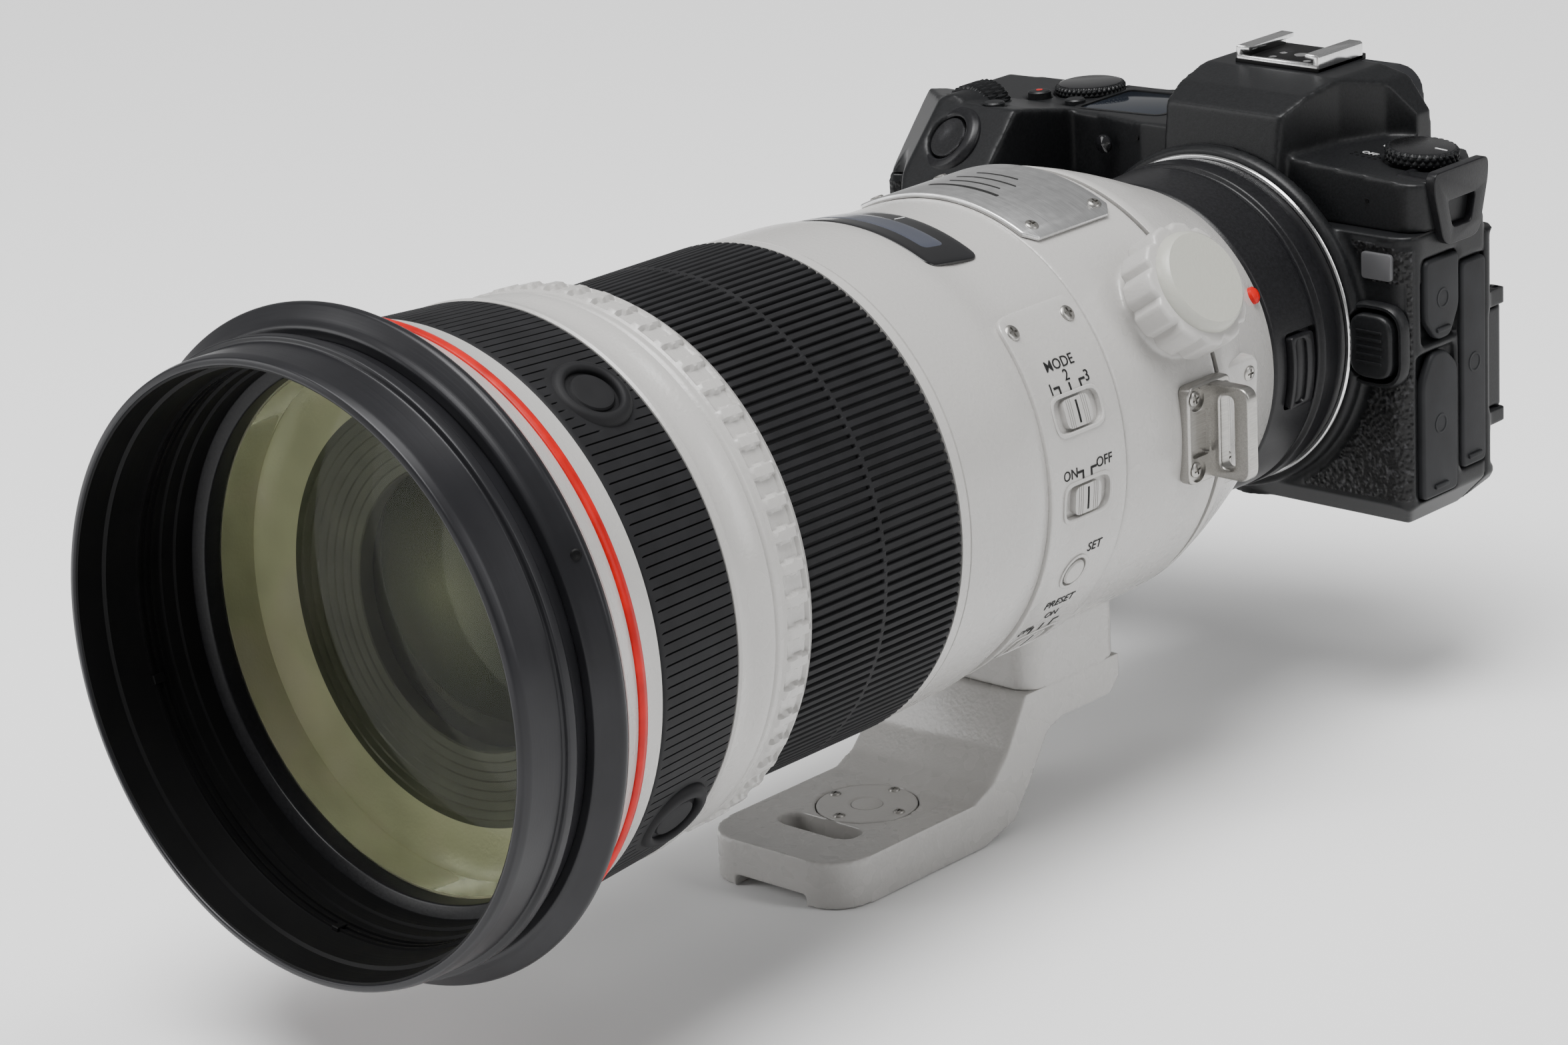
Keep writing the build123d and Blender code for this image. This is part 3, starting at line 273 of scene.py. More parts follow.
def ring_faces(count, size, closed=True):
    """Faces between neighbouring rings of points. Open rings get a cap at each of their two ends."""
    faces = []
    for i in range(count):
        j = (i + 1) % count
        for k in range(size if closed else size - 1):
            n = (k + 1) % size
            faces.append((i * size + k, i * size + n, j * size + n, j * size + k))
    if not closed:
        faces.append(tuple(i * size for i in range(count)))
        faces.append(tuple(i * size + size - 1 for i in range(count)))
    return faces


def turned(name, profile, look, smooth=35):
    """A closed outline of (station, radius) turned about the lens axis."""
    verts = []
    for i in range(TURN):
        for station, radius in profile:
            verts.append(lens_point(360 * i / TURN, radius, station))
    return add_mesh(name, verts, ring_faces(TURN, len(profile)), look, smooth)


def spun(name, profile, look, matrix=None, count=48, smooth=35, hollow=False):
    """An outline of (radius, height) turned about the Z axis of a matrix, solid or a closed ring."""
    verts = []
    for i in range(count):
        a = math.tau * i / count
        for radius, height in profile:
            verts.append((radius * math.cos(a), radius * math.sin(a), height))
    return add_mesh(name, verts, ring_faces(count, len(profile), hollow), look, smooth, matrix)


def moulded(name, stations, count, inner, surface, look, smooth=50):
    """A ring whose outside follows surface(angle, station) and whose inside is plain."""
    verts = []
    for i in range(count):
        angle = 360 * i / count
        verts.append(lens_point(angle, inner, stations[0]))
        for station in stations:
            verts.append(lens_point(angle, surface(angle, station), station))
        verts.append(lens_point(angle, inner, stations[-1]))
    return add_mesh(name, verts, ring_faces(count, len(stations) + 2), look, smooth)


def wrapped(obj, angle, radius, station, step=2.0, smooth=35):
    """Bends a flat object round the barrel: its X runs along the lens, its Y round it, its Z out.

    radius is a number, or a function of the station.
    """
    form = bmesh.new()
    form.from_mesh(obj.data)
    reach = max((abs(v.co.y) for v in form.verts), default=0)
    cuts = [(1, i * step) for i in range(-int(reach / MM / step), int(reach / MM / step) + 1)]
    if callable(radius):
        length = max((abs(v.co.x) for v in form.verts), default=0)
        cuts += [(0, i * 2.0) for i in range(-int(length / MM / 2), int(length / MM / 2) + 1)]
    for axis, at in cuts:
        everything = form.verts[:] + form.edges[:] + form.faces[:]
        normal = (1 - axis, axis, 0)
        spot = tuple(n * at * MM for n in normal)
        bmesh.ops.bisect_plane(form, geom=everything, plane_co=spot, plane_no=normal)
    for vert in form.verts:
        place = station + vert.co.x / MM
        base = radius(place) if callable(radius) else radius
        turn = angle + math.degrees(vert.co.y / MM / base)
        vert.co = lens_point(turn, base + vert.co.z / MM, place) * MM
    form.to_mesh(obj.data)
    form.free()
    shade(obj.data, smooth)
    return obj


def soft_copy(node, look, voxel, passes):
    """A copy of a CAD node with all its edges rounded, ready to be cut and painted."""
    obj = bpy.data.objects.new("soft_" + node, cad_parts[node].data.copy())
    bpy.context.collection.objects.link(obj)
    obj.data.materials.clear()
    obj.data.materials.append(look)
    for polygon in obj.data.polygons:
        polygon.material_index = 0
    remesh = obj.modifiers.new("remesh", "REMESH")
    remesh.mode = "VOXEL"
    remesh.voxel_size = voxel * MM
    relax = obj.modifiers.new("relax", "SMOOTH")
    relax.factor = 0.5
    relax.iterations = passes
    return baked(obj, 60)


def lettering(name, text, height, look):
    """Flat printed marks, 0.04 mm thick, centred on the origin."""
    curve = bpy.data.curves.new(name, "FONT")
    curve.body = text
    curve.size = height * MM
    curve.align_x = "CENTER"
    curve.align_y = "CENTER"
    curve.extrude = 0.02 * MM
    curve.offset = 0.02 * MM
    curve.resolution_u = 3
    holder = bpy.data.objects.new(name, curve)
    bpy.context.collection.objects.link(holder)
    graph = bpy.context.evaluated_depsgraph_get()
    mesh = bpy.data.meshes.new_from_object(holder.evaluated_get(graph))
    bpy.data.objects.remove(holder)
    mesh.materials.clear()
    mesh.materials.append(look)
    obj = bpy.data.objects.new(name, mesh)
    bpy.context.collection.objects.link(obj)
    return obj


def screw(name, matrix, radius, look):
    """A domed screw head with a cross recess."""
    head = spun(
        name,
        [
            (0.01, -0.3), (radius, -0.3), (radius, 0.2), (radius * 0.85, 0.42),
            (radius * 0.5, 0.5), (0.01, 0.52),
        ],
        look,
        None,
        32,
    )
    bar = radius * 0.62
    wide = radius * 0.14
    arms = [(-bar, -wide), (-wide, -wide), (-wide, -bar), (wide, -bar), (wide, -wide), (bar, -wide)]
    cross = arms + [(-u, -v) for u, v in arms]
    cutter = prism(name + "_cross", cross, 0.1, 1.0, look)
    carve(head, cutter)
    return put(head, matrix)


# ---------------------------------------------------------------- materials
class Look:
    """A principled material that is built up from noise layers."""

    def __init__(self, name, slot, colour, roughness, metallic=0.0):
        self.material = bpy.data.materials.new(name)
        self.material.use_nodes = True
        self.material["slot"] = slot
        self.nodes = self.material.node_tree.nodes
        self.links = self.material.node_tree.links
        self.shader = self.nodes["Principled BSDF"]
        self.shader.inputs["Base Color"].default_value = (*colour, 1)
        self.shader.inputs["Roughness"].default_value = roughness
        self.shader.inputs["Metallic"].default_value = metallic
        self.colour = colour
        self.place = self.nodes.new("ShaderNodeTexCoord").outputs["Object"]
        self.last_bump = None

    def set(self, **values):
        for key, value in values.items():
            self.shader.inputs[key.replace("_", " ")].default_value = value
        return self

    def stretched(self, stretch):
        if stretch == (1, 1, 1):
            return self.place
        mapping = self.nodes.new("ShaderNodeMapping")
        mapping.inputs["Scale"].default_value = stretch
        self.links.new(self.place, mapping.inputs["Vector"])
        return mapping.outputs["Vector"]

    def noise(self, grain, detail=2.0, stretch=(1, 1, 1)):
        """Noise whose grains are about so many millimetres wide."""
        node = self.nodes.new("ShaderNodeTexNoise")
        node.inputs["Scale"].default_value = 1 / (grain * MM)
        node.inputs["Detail"].default_value = detail
        self.links.new(self.stretched(stretch), node.inputs["Vector"])
        return node.outputs["Fac"]

    def cells(self, grain):
        node = self.nodes.new("ShaderNodeTexVoronoi")
        node.feature = "SMOOTH_F1"
        node.inputs["Scale"].default_value = 1 / (grain * MM)
        self.links.new(self.place, node.inputs["Vector"])
        return node.outputs["Distance"]

    def bump(self, source, depth):
        """Relief of the given depth in millimetres."""
        node = self.nodes.new("ShaderNodeBump")
        node.inputs["Distance"].default_value = depth * MM
        node.inputs["Strength"].default_value = 1.0
        self.links.new(source, node.inputs["Height"])
        if self.last_bump is not None:
            self.links.new(self.last_bump, node.inputs["Normal"])
        self.last_bump = node.outputs["Normal"]
        self.links.new(self.last_bump, self.shader.inputs["Normal"])
        return self

    def tint(self, source, low, high, start=0.3, end=0.7):
        """Varies the base colour between two strengths of itself."""
        ramp = self.nodes.new("ShaderNodeValToRGB")
        for stop, strength in zip(ramp.color_ramp.elements, (low, high)):
            stop.color = (*[c * strength for c in self.colour], 1)
        ramp.color_ramp.elements[0].position = start
        ramp.color_ramp.elements[1].position = end
        self.links.new(source, ramp.inputs["Fac"])
        self.links.new(ramp.outputs["Color"], self.shader.inputs["Base Color"])
        return self

    def wear(self, source, low, high):
        """Varies the roughness."""
        span_node = self.nodes.new("ShaderNodeMapRange")
        span_node.inputs["To Min"].default_value = low
        span_node.inputs["To Max"].default_value = high
        self.links.new(source, span_node.inputs["Value"])
        self.links.new(span_node.outputs["Result"], self.shader.inputs["Roughness"])
        return self


def painted(name, slot, colour, roughness=0.36):
    look = Look(name, slot, colour, roughness)
    look.bump(look.noise(0.8, 1.5), 0.07)
    look.tint(look.noise(16.0, 1.0), 0.985, 1.01)
    look.wear(look.noise(5.0, 1.0), roughness - 0.02, roughness + 0.03)
    look.set(Coat_Weight=0.3, Coat_Roughness=0.16)
    return look.material


def plastic(name, slot, colour, roughness, grain=0.35, depth=0.018):
    look = Look(name, slot, colour, roughness)
    look.bump(look.noise(grain, 2.0), depth)
    look.tint(look.noise(grain * 1.6, 2.0), 0.75, 1.35)
    look.set(Specular_IOR_Level=0.26)
    return look.material


def rubber(name, slot, colour, roughness=0.62):
    look = Look(name, slot, colour, roughness)
    look.bump(look.noise(0.5, 3.0), 0.012)
    look.tint(look.noise(6.0, 3.0), 0.8, 1.25)
    look.set(Specular_IOR_Level=0.22)
    return look.material


def leatherette(name, slot, colour):
    look = Look(name, slot, colour, 0.36)
    grain = look.cells(1.0)
    look.bump(grain, 0.42)
    look.bump(look.noise(0.5, 3.0), 0.08)
    look.tint(look.noise(1.1, 1.0), 0.5, 4.5, 0.56, 0.72)
    look.set(Specular_IOR_Level=0.3)
    return look.material


def lathed(name, slot, colour, roughness, metallic, grain=0.25, depth=0.008, gloss=0.35):
    """Fine turning marks that run round the lens."""
    look = Look(name, slot, colour, roughness, metallic)
    rings = look.noise(grain, 2.0, (0.004, 1, 0.004))
    look.bump(rings, depth)
    look.wear(rings, roughness - 0.05, roughness + 0.08)
    look.tint(look.noise(12.0, 3.0), 0.85, 1.15)
    look.set(Specular_IOR_Level=gloss)
    return look.material


def brushed(name, slot, colour, roughness, stretch):
    look = Look(name, slot, colour, roughness, 1.0)
    lines = look.noise(0.22, 3.0, stretch)
    look.bump(lines, 0.006)
    look.tint(lines, 0.82, 1.1)
    look.wear(look.noise(2.0, 3.0), roughness - 0.06, roughness + 0.08)
    return look.material


def glazed(name, slot, colour, roughness=0.05):
    look = Look(name, slot, colour, roughness)
    look.tint(look.noise(25.0, 2.0), 0.8, 1.2)
    look.wear(look.noise(14.0, 2.0), roughness, roughness + 0.04)
    return look


def painted_glow_glass(name, slot, colour):
    """A dark element with a painted glow: its colour grows lighter towards its middle, in a gradient fixed
    to the object.
    """
    look = Look(name, slot, colour, 0.05)
    glow_gradient = look.nodes.new("ShaderNodeTexGradient")
    glow_gradient.gradient_type = "QUADRATIC_SPHERE"
    mapping = look.nodes.new("ShaderNodeMapping")
    mapping.vector_type = "POINT"
    mapping.inputs["Location"].default_value = (0.15, 0.0, -2.95)
    mapping.inputs["Scale"].default_value = (34.0, 0.0, 34.0)
    look.links.new(look.place, mapping.inputs["Vector"])
    look.links.new(mapping.outputs["Vector"], glow_gradient.inputs["Vector"])
    # painted glow: the colour runs from a tenth of itself at the rim to 1.3 times itself at the middle
    look.tint(glow_gradient.outputs["Fac"], 0.10, 1.3, 0.0, 1.0)
    look.wear(look.noise(20.0, 2.0), 0.03, 0.08)
    look.set(Specular_IOR_Level=0.12)
    return look.material


def clear_glass(name, slot, colour):
    look = glazed(name, slot, colour, 0.0)
    look.set(Transmission_Weight=1.0, IOR=1.06, Coat_Weight=0.15, Coat_Roughness=0.02)
    return look.material


WHITE = painted("white_paint", "white_paint", (0.445, 0.435, 0.42), 0.27)
GREY = painted("grey_paint", "grey_plastic", (0.44, 0.43, 0.415), 0.36)
CAP = painted("knob_cap", "grey_plastic", (0.42, 0.42, 0.375), 0.45)
HOOD = lathed("hood_anodised", "black_metal", (0.014, 0.014, 0.016), 0.30, 0.25)
LINING = lathed("hood_lining", "black_metal", (0.004, 0.004, 0.0042), 0.45, 0.0, 0.5, 0.006, 0.12)
ADAPTER = plastic("adapter_metal", "black_metal", (0.007, 0.007, 0.008), 0.34, 0.45, 0.02)
RUBBER = rubber("ring_rubber", "black_rubber", (0.009, 0.009, 0.010))
SOFT = rubber("cover_rubber", "black_rubber", (0.013, 0.0135, 0.015), 0.55)
BODY = plastic("body_plastic", "body_plastic", (0.007, 0.0073, 0.008), 0.4)
SKIN = leatherette("leatherette", "body_plastic", (0.006, 0.006, 0.0065))
GLOSS = glazed("gloss_black", "gloss_black", (0.008, 0.008, 0.009), 0.08).material
SCALE = glazed("window_scale", "gloss_black", (0.055, 0.06, 0.08), 0.12).material
SCREEN = glazed("display_glass", "display", (0.012, 0.015, 0.021), 0.07).material
FRONT_GLASS = clear_glass("front_glass", "lens_glass", (0.90, 0.93, 0.82))
# Dark glass for the inner elements, with a painted glow towards the middle.
PAINTED_GLOW_GLASS = painted_glow_glass("painted_glow_glass", "lens_glass", (0.075, 0.080, 0.048))
# The inner wall's pale olive colour is a painted glow: it stands for the light seen inside the lens.
PAINTED_GLOW = painted("inner_wall_painted_glow", "lens_glass", (0.36, 0.35, 0.25), 0.4)
BAFFLE = lathed("lens_baffle", "black_metal", (0.050, 0.050, 0.038), 0.4, 0.0, 0.8, 0.006)
STEEL = brushed("brushed_steel", "steel", (0.42, 0.41, 0.39), 0.32, (1, 0.05, 1))
BRIGHT = brushed("bright_ring", "steel", (0.75, 0.75, 0.75), 0.16, (1, 1, 0.05))
PLATE = brushed("plate_aluminium", "plate_alu", (0.74, 0.74, 0.74), 0.34, (0.03, 1, 0.03))
SPUN = brushed("spun_metal", "black_metal", (0.10, 0.10, 0.105), 0.26, (0.3, 0.3, 1))
BADGE = lathed("badge_metal", "black_metal", (0.12, 0.12, 0.125), 0.35, 0.3, 0.3, 0.004)
RED = rubber("red_enamel", "gloss_black", (0.46, 0.003, 0.002), 0.35)
INK = rubber("black_ink", "black_rubber", (0.012, 0.012, 0.012), 0.7)
PALE_INK = painted("white_ink", "grey_plastic", (0.6, 0.6, 0.6), 0.6)


# ---------------------------------------------------------------- the lens, front to back
(RING_Y, FLANGE_Y) = (span("front_ring")[1], span("front_flange")[1])
(GRIP_Y, PLAY_Y, FOCUS_Y) = (span("front_grip")[1], span("playback_ring")[1], span("focus_ring")[1])
(COLLAR_Y, REAR_Y) = (span("collar_ring")[1], span("rear_barrel")[1])
GLASS_Y = span("front_glass")[1]
FOCUS_BACK = FOCUS_Y[1]
BUTTON_ANGLES = {number: angle for number, angle in enumerate((55, -35, -125, 145), start=1)}
BUTTON_Y = middle(span("af_stop_button_1")[1])
GRIP_RIBS = 176
PLAYBACK_LUMPS = 55
FOCUS_RIBS = 156
KNOB_FLUTES = 12


def front_group():
    lip = RING_Y[0]
    step = lip + 9.8
    rim = rounded(
        [
            (lip, 57.2), (lip + 0.3, 58.5), (lip + 2.0, 58.9), (step, 58.9), (step + 0.2, 60.1),
            (step + 2.3, 60.1), (step + 2.6, 58.6), (RING_Y[1], 58.4), (RING_Y[1], 56.9),
            (lip + 1.0, 56.9),
        ],
        0.4,
    )
    piece(turned("front_rim", rim, HOOD), LENS, ["front_ring"])
    wall = [
        (lip + 0.4, 57.2), (lip + 0.6, 56.7), (lip + 6.0, 56.3), (lip + 6.4, 55.6),
        (lip + 13.0, 55.2),
    ]
    for station in (13.4, 15.0, 16.6):
        wall += [(lip + station, 55.1), (lip + station, 54.6), (lip + station + 0.5, 54.6)]
        wall += [(lip + station + 0.5, 55.0)]
    wall += [(lip + 18.6, 54.9), (lip + 18.8, 54.3), (lip + 21.4, 54.1), (lip + 21.6, 53.5)]
    wall += [(GLASS_Y[0] + 1.6, 53.4), (GLASS_Y[0] + 1.6, 56.0), (lip + 1.0, 57.3)]
    piece(turned("hood_lining", wall, LINING, smooth=25), LENS)
    for number, angle in enumerate((196, 262, 330, 60)):
        notch = bevelled(prism("notch", rectangle(2.6, 1.7, 0.2), -0.2, 1.1, LINING), 0.15, 1)
        inner = wrapped(notch, angle, 54.5, lip + 14.3)
        inner.name = f"hood_notch_{number}"
        piece(inner, LENS)
    keeper = rounded(
        [
            (GLASS_Y[0] - 0.6, 53.6), (GLASS_Y[0] + 0.4, 50.9), (GLASS_Y[0] + 4.4, 50.9),
            (GLASS_Y[0] + 6.0, 53.2),
        ],
        0.4,
    )
    piece(turned("glass_keeper", keeper, ADAPTER), LENS)

    front, back = FLANGE_Y
    flange = rounded(
        [
            (front, 55.6), (front, 60.2), (front + 1.1, 61.2), (front + 3.2, 63.9),
            (front + 4.3, 64.0), (back + 0.4, 63.2), (back + 0.4, 55.6),
        ],
        0.5,
    )
    piece(turned("wide_flange", flange, HOOD), LENS, ["front_flange"])
    mark = facing(lens_point(27, 63.1, front + 2.4), (math.cos(0.47), -0.75, math.sin(0.47)), (0, 1, 0))
    pin = [(0.01, -0.6), (1.0, -0.6), (1.0, 0.1), (0.7, 0.25), (0.01, 0.1)]
    piece(spun("flange_pin", pin, LINING, mark), LENS)

    cone = [
        (back + 0.4, 62.4), (back + 0.9, 62.6), (-129.2, 62.0), (-128.8, 61.1), (-125.5, 59.6),
        (-123.1, 58.6), (-122.9, 58.0), (-121.2, 57.6), (-121.0, 58.0), (-119.5, 57.5),
        (-117.0, 56.9), (GRIP_Y[0] - 0.3, 56.6), (GRIP_Y[0], 56.2), (GRIP_Y[0], 53.2),
        (GRIP_Y[1], 53.2), (GRIP_Y[1], 54.6), (GRIP_Y[1] + 0.5, 54.95), (-91.4, 54.8),
        (-91.0, 53.7), (-89.5, 53.0), (-87.5, 52.9), (-85.0, 53.3), (-83.6, 53.7),
        (PLAY_Y[0] - 0.4, 53.6), (PLAY_Y[0] - 0.2, 53.2), (PLAY_Y[0] - 0.2, 50.2), (-93.0, 51.2),
        (back + 0.4, 55.2),
    ]
    piece(turned("front_cone", cone, WHITE), LENS, ["front_barrel"])
    line = rounded([(-123.6, 58.0), (-123.5, 59.1), (-122.3, 59.3), (-120.9, 58.7), (-120.8, 57.4)], 0.4)
    piece(turned("red_line", line, RED), LENS)


def glass_group():
    front = GLASS_Y[0]
    bulge = [(front + 3.9 * (r / 50.5) ** 2, r) for r in range(0, 50, 3)]
    back = [(front + 12 + 1.5 * (r / 50.5) ** 2, r) for r in range(48, -1, -3)]
    lens = [(y, max(r, 0.01)) for y, r in bulge] + [(front + 4.2, 50.4), (front + 13.4, 50.2)]
    lens += [(y, max(r, 0.01)) for y, r in back]
    piece(turned("front_element", lens, FRONT_GLASS, smooth=60), LENS, ["front_glass"])
    behind = front + 14.2
    # The wall behind the front element carries the painted glow.
    glow = [(front + 5.0, 51.0), (behind, 50.5), (behind + 0.6, 47.0), (behind + 1.6, 40.6)]
    glow += [(behind + 3.0, 40.6), (behind + 3.0, 51.4), (front + 5.0, 51.4)]
    piece(turned("inner_wall", glow, PAINTED_GLOW, smooth=60), LENS)
    steps = []
    for k in range(8):
        wall = mix(40.6, 28.6, k / 7)
        place = behind + 1.6 + 0.45 * k
        steps += [(place, wall), (place + 0.1, wall - 1.3), (place + 0.4, wall - 1.5)]
    tunnel = steps + [(behind + 9.0, 27.0), (behind + 9.0, 40.4)]
    piece(turned("baffle_rings", tunnel, BAFFLE, smooth=20), LENS)
    # The second element takes the glass with the painted glow.
    second = [(behind + 4.4 + 4.0 * (r / 27.6) ** 2, max(r, 0.01)) for r in [2.3 * k for k in range(13)]]
    second += [(behind + 11.0, 27.6), (behind + 11.0, 0.01)]
    piece(turned("second_element", second, PAINTED_GLOW_GLASS, smooth=60), LENS)
    rim = [(behind + 5.0, 27.2), (behind + 5.0, 27.6), (behind + 6.0, 27.6), (behind + 6.0, 27.2)]
    piece(turned("second_rim", rounded(rim, 0.1), PLATE), LENS)


def near_button(angle, station):
    """How far a place on the front grip is from the nearest button, in millimetres."""
    best = 99.0
    for centre in BUTTON_ANGLES.values():
        turn = (angle - centre + 180) % 360 - 180
        across = math.radians(turn) * 55.0
        best = min(best, math.hypot(across, station - BUTTON_Y))
    return best


def rib(phase, land=0.62, soft=0.13):
    """Height, 0 to 1, across one rib: a flat land between narrow grooves."""
    edge = abs(phase % 1.0 - 0.5) * 2
    return min(1.0, max(0.0, (land + soft - edge) / soft))


def front_grip():
    front, back = GRIP_Y
    width = back - front

    def surface(angle, station):
        base = mix(55.2, 53.7, (station - front) / width)
        ends = min(1.0, (station - front) / 0.6, (back - station) / 0.6)
        away = near_button(angle, station)
        height = rib(angle / 360 * GRIP_RIBS, 0.84, 0.1)
        if station - front < 1.6 or back - station < 0.9:
            height = 1.0
        if away < 9.6:
            height = max(height, min(1.0, (9.6 - away) / 0.8))
        return base + 1.05 * height - 0.5 * (1 - max(0.0, ends))

    stations = [front + 0.05] + [front + 0.4 + (width - 0.8) * k / 40 for k in range(41)] + [back - 0.05]
    ring = moulded("front_rubber", stations, GRIP_RIBS * 12, 53.3, surface, RUBBER)
    piece(ring, LENS, ["front_grip"])
    for number, angle in BUTTON_ANGLES.items():
        node = f"af_stop_button_{number}"
        rim = rounded([(5.3, -1.5), (5.3, 0.5), (5.9, 1.1), (7.0, 0.9), (7.9, -0.2), (7.9, -1.5)], 0.5)
        place = on_barrel(angle, 55.6, BUTTON_Y)
        piece(spun(f"button_rim_{number}", rim, RUBBER, place, 64, hollow=True), LENS)
        cap = [(0.01, -1.2), (4.4, -1.2), (4.4, 0.0), (4.1, 0.35), (3.4, 0.45), (0.01, 0.25)]
        piece(spun(f"stop_button_{number}", cap, RUBBER, place), node, [node])


def playback_ring():
    front, back = PLAY_Y

    def surface(angle, station):
        line = [(0, 52.2), (1.2, 53.2), (2.6, 53.1), (3.6, 53.95), (8.6, 53.7), (back - front, 52.2)]
        base = along(line, station - front)
        phase = angle / 360 * PLAYBACK_LUMPS % 1.0
        edge = 0.27 - 0.03 * abs(station - front - 6.4)
        lump = min(1.0, max(0.0, (edge - abs(phase - 0.5)) / 0.055))
        inside = min(1.0, max(0.0, (station - front - 3.0) / 0.7), max(0.0, (front + 9.8 - station) / 0.6))
        return base - 1.05 * (1 - lump) * inside

    stations = [front + (back - front) * k / 40 for k in range(41)]
    ring = moulded("scalloped_ring", stations, PLAYBACK_LUMPS * 14, 49.6, surface, WHITE, 28)
    piece(ring, "playback_ring", ["playback_ring"])


def focus_ring():
    front, back = FOCUS_Y
    seam = mix(front, back, 0.5)

    def surface(angle, station):
        shift = 0.5 if station > seam else 0.0
        overlap = abs(station - seam) < 0.5
        height = 1.0 if overlap else rib(angle / 360 * FOCUS_RIBS + shift, 0.6, 0.1)
        ends = min(1.0, (station - front) / 0.5, (back - station) / 0.5)
        return 49.45 + 0.75 * height - 0.4 * (1 - max(0.0, ends))

    stations = [front + 0.03, front + 0.5, front + 3, mix(front, seam, 0.5), seam - 1.2, seam - 0.6]
    stations += [seam - 0.4, seam + 0.4, seam + 0.6, seam + 1.2, mix(seam, back, 0.5)]
    stations += [back - 3, back - 0.5, back - 0.03]
    ring = moulded("focus_rubber", stations, FOCUS_RIBS * 16, 48.3, surface, RUBBER)
    piece(ring, "focus_ring", ["focus_ring"])


SEAM_Y = COLLAR_Y[0]


def middle_barrel():
    front = FOCUS_BACK + 0.35
    outside = [(front, 49.0), (front, 49.9), (-22.8, 49.95), (-22.65, 49.6), (-22.45, 49.6), (-22.3, 49.9)]
    outside += [(-15.0, 49.65), (-10.0, 49.5), (-6.0, 49.35), (-3.5, 49.15), (-1.5, 48.85), (0.5, 48.4)]
    outside += [(2.5, 47.9), (4.5, 47.45), (6.5, 47.1), (8.5, 46.8), (11.0, 46.62), (14.0, 46.55)]
    outside += [(SEAM_Y - 0.5, 46.5), (SEAM_Y - 0.3, 46.1), (SEAM_Y - 0.3, 45.0), (front, 45.0)]
    piece(turned("middle_barrel", outside, WHITE, smooth=50), LENS, ["mid_barrel"])
    # A dark ring in the gap before the collar: painted shadow.
    shadow_gap = [(SEAM_Y - 0.4, 43.0), (SEAM_Y - 0.4, 45.2), (SEAM_Y + 0.2, 45.2), (SEAM_Y + 0.2, 43.0)]
    piece(turned("collar_shadow_ring", shadow_gap, LINING), LENS)


def distance_window():
    (front, back) = span("distance_window")[1]
    length = back - front + 0.6
    half = math.radians(28.2) * 47.6

    def top(station):
        return mix(48.55, 47.0, (station - front) / (back - front))

    glass = prism("window_glass", rectangle(length, 2 * half, 2.6), -0.9, 0.0, GLOSS)
    bevelled(glass, 0.35, 3)
    glass = wrapped(glass, 90, top, middle((front, back)))
    piece(glass, LENS, ["distance_window"])
    strip = prism("window_scale", rectangle(6.2, 2 * half - 11, 1.6), -0.3, 0.05, SCALE)
    bevelled(strip, 0.1, 2)
    piece(wrapped(strip, 90, top, middle((front, back)) - 0.2), LENS)
    index = prism("window_index", rectangle(3.0, 0.35, 0.05), 0.02, 0.09, PALE_INK)
    piece(wrapped(index, 85, top, back - 2.2), LENS)


PANEL_ANGLE = (44.0, -64.0)
SWITCHES = {"mode_switch": 16.6, "stabilizer_switch": -4.4, "preset_switch": -50.0}
SET_ANGLE = -24.5
SLOT_Y = middle(span("mode_switch")[1])


def panel_top(station):
    return along([(2.0, 49.1), (5.0, 48.3), (9.0, 47.75), (28.5, 47.6)], station)


def round_place(angle, centre_angle, radius=47.7):
    """Where an angle falls on a flat panel that is wrapped about its centre."""
    return math.radians(angle - centre_angle) * radius


def switch_panel():
    front, back = span("switch_panel")[1]
    centre = middle(PANEL_ANGLE)
    height = round_place(PANEL_ANGLE[0], PANEL_ANGLE[1])
    station = middle((front, back))
    plate = prism("panel_plate", rectangle(back - front, height, 3.6), -1.6, 0.0, WHITE)
    shift = SLOT_Y - station
    frames = []
    for angle in SWITCHES.values():
        at = round_place(angle, centre)
        outline = moved(rectangle(13.9, 6.9, 2.6), shift, at)
        frames.append(prism("slot_cutter", outline, -2.6, 1.0, WHITE))
    at = round_place(SET_ANGLE, centre)
    frames.append(prism("set_cutter", circle(3.35, 40, (shift, at)), -2.6, 1.0, WHITE))
    carve(plate, *frames)
    bevelled(plate, 0.55, 3)
    piece(wrapped(plate, centre, panel_top, station, 1.5), LENS, ["switch_panel"])
    for name, angle in SWITCHES.items():
        rim = bordered(f"{name}_rim", rectangle(15.5, 8.5, 3.3), rectangle(13.9, 6.9, 2.6), 0.35, WHITE)
        piece(wrapped(rim, angle, panel_top, SLOT_Y, 1.0), LENS)
        floor = prism(f"{name}_floor", rectangle(14.4, 7.4, 2.6), -1.5, -1.2, GREY)
        piece(wrapped(floor, angle, panel_top, SLOT_Y, 1.0), LENS)
        piece(slider(f"{name}_slider", angle), name, [name])
    rim = bordered("set_rim", circle(4.1, 40), circle(3.35, 40), 0.3, WHITE)
    piece(wrapped(rim, SET_ANGLE, panel_top, SLOT_Y, 1.0), LENS)
    cap = [(0.01, -1.4), (2.8, -1.4), (2.8, 0.1), (2.5, 0.4), (1.6, 0.3), (0.01, 0.15)]
    place = on_barrel(SET_ANGLE, panel_top(SLOT_Y), SLOT_Y)
    piece(spun("set_button_cap", cap, GREY, place), "set_button", ["set_button"])


def bordered(name, outside, inside, height, look):
    """A raised rim between two outlines with equally many points."""
    verts = []
    section = [(-0.3, 0.0), (height * 0.7, 0.0), (height, 0.3)]
    section += [(height, 0.7), (height * 0.5, 1.0), (-0.3, 1.0)]
    for level, grow in section:
        for (u, v), (s, t) in zip(outside, inside):
            verts.append((mix(u, s, grow), mix(v, t, grow), level))
    return add_mesh(name, verts, ring_faces(6, len(outside)), look, 50)


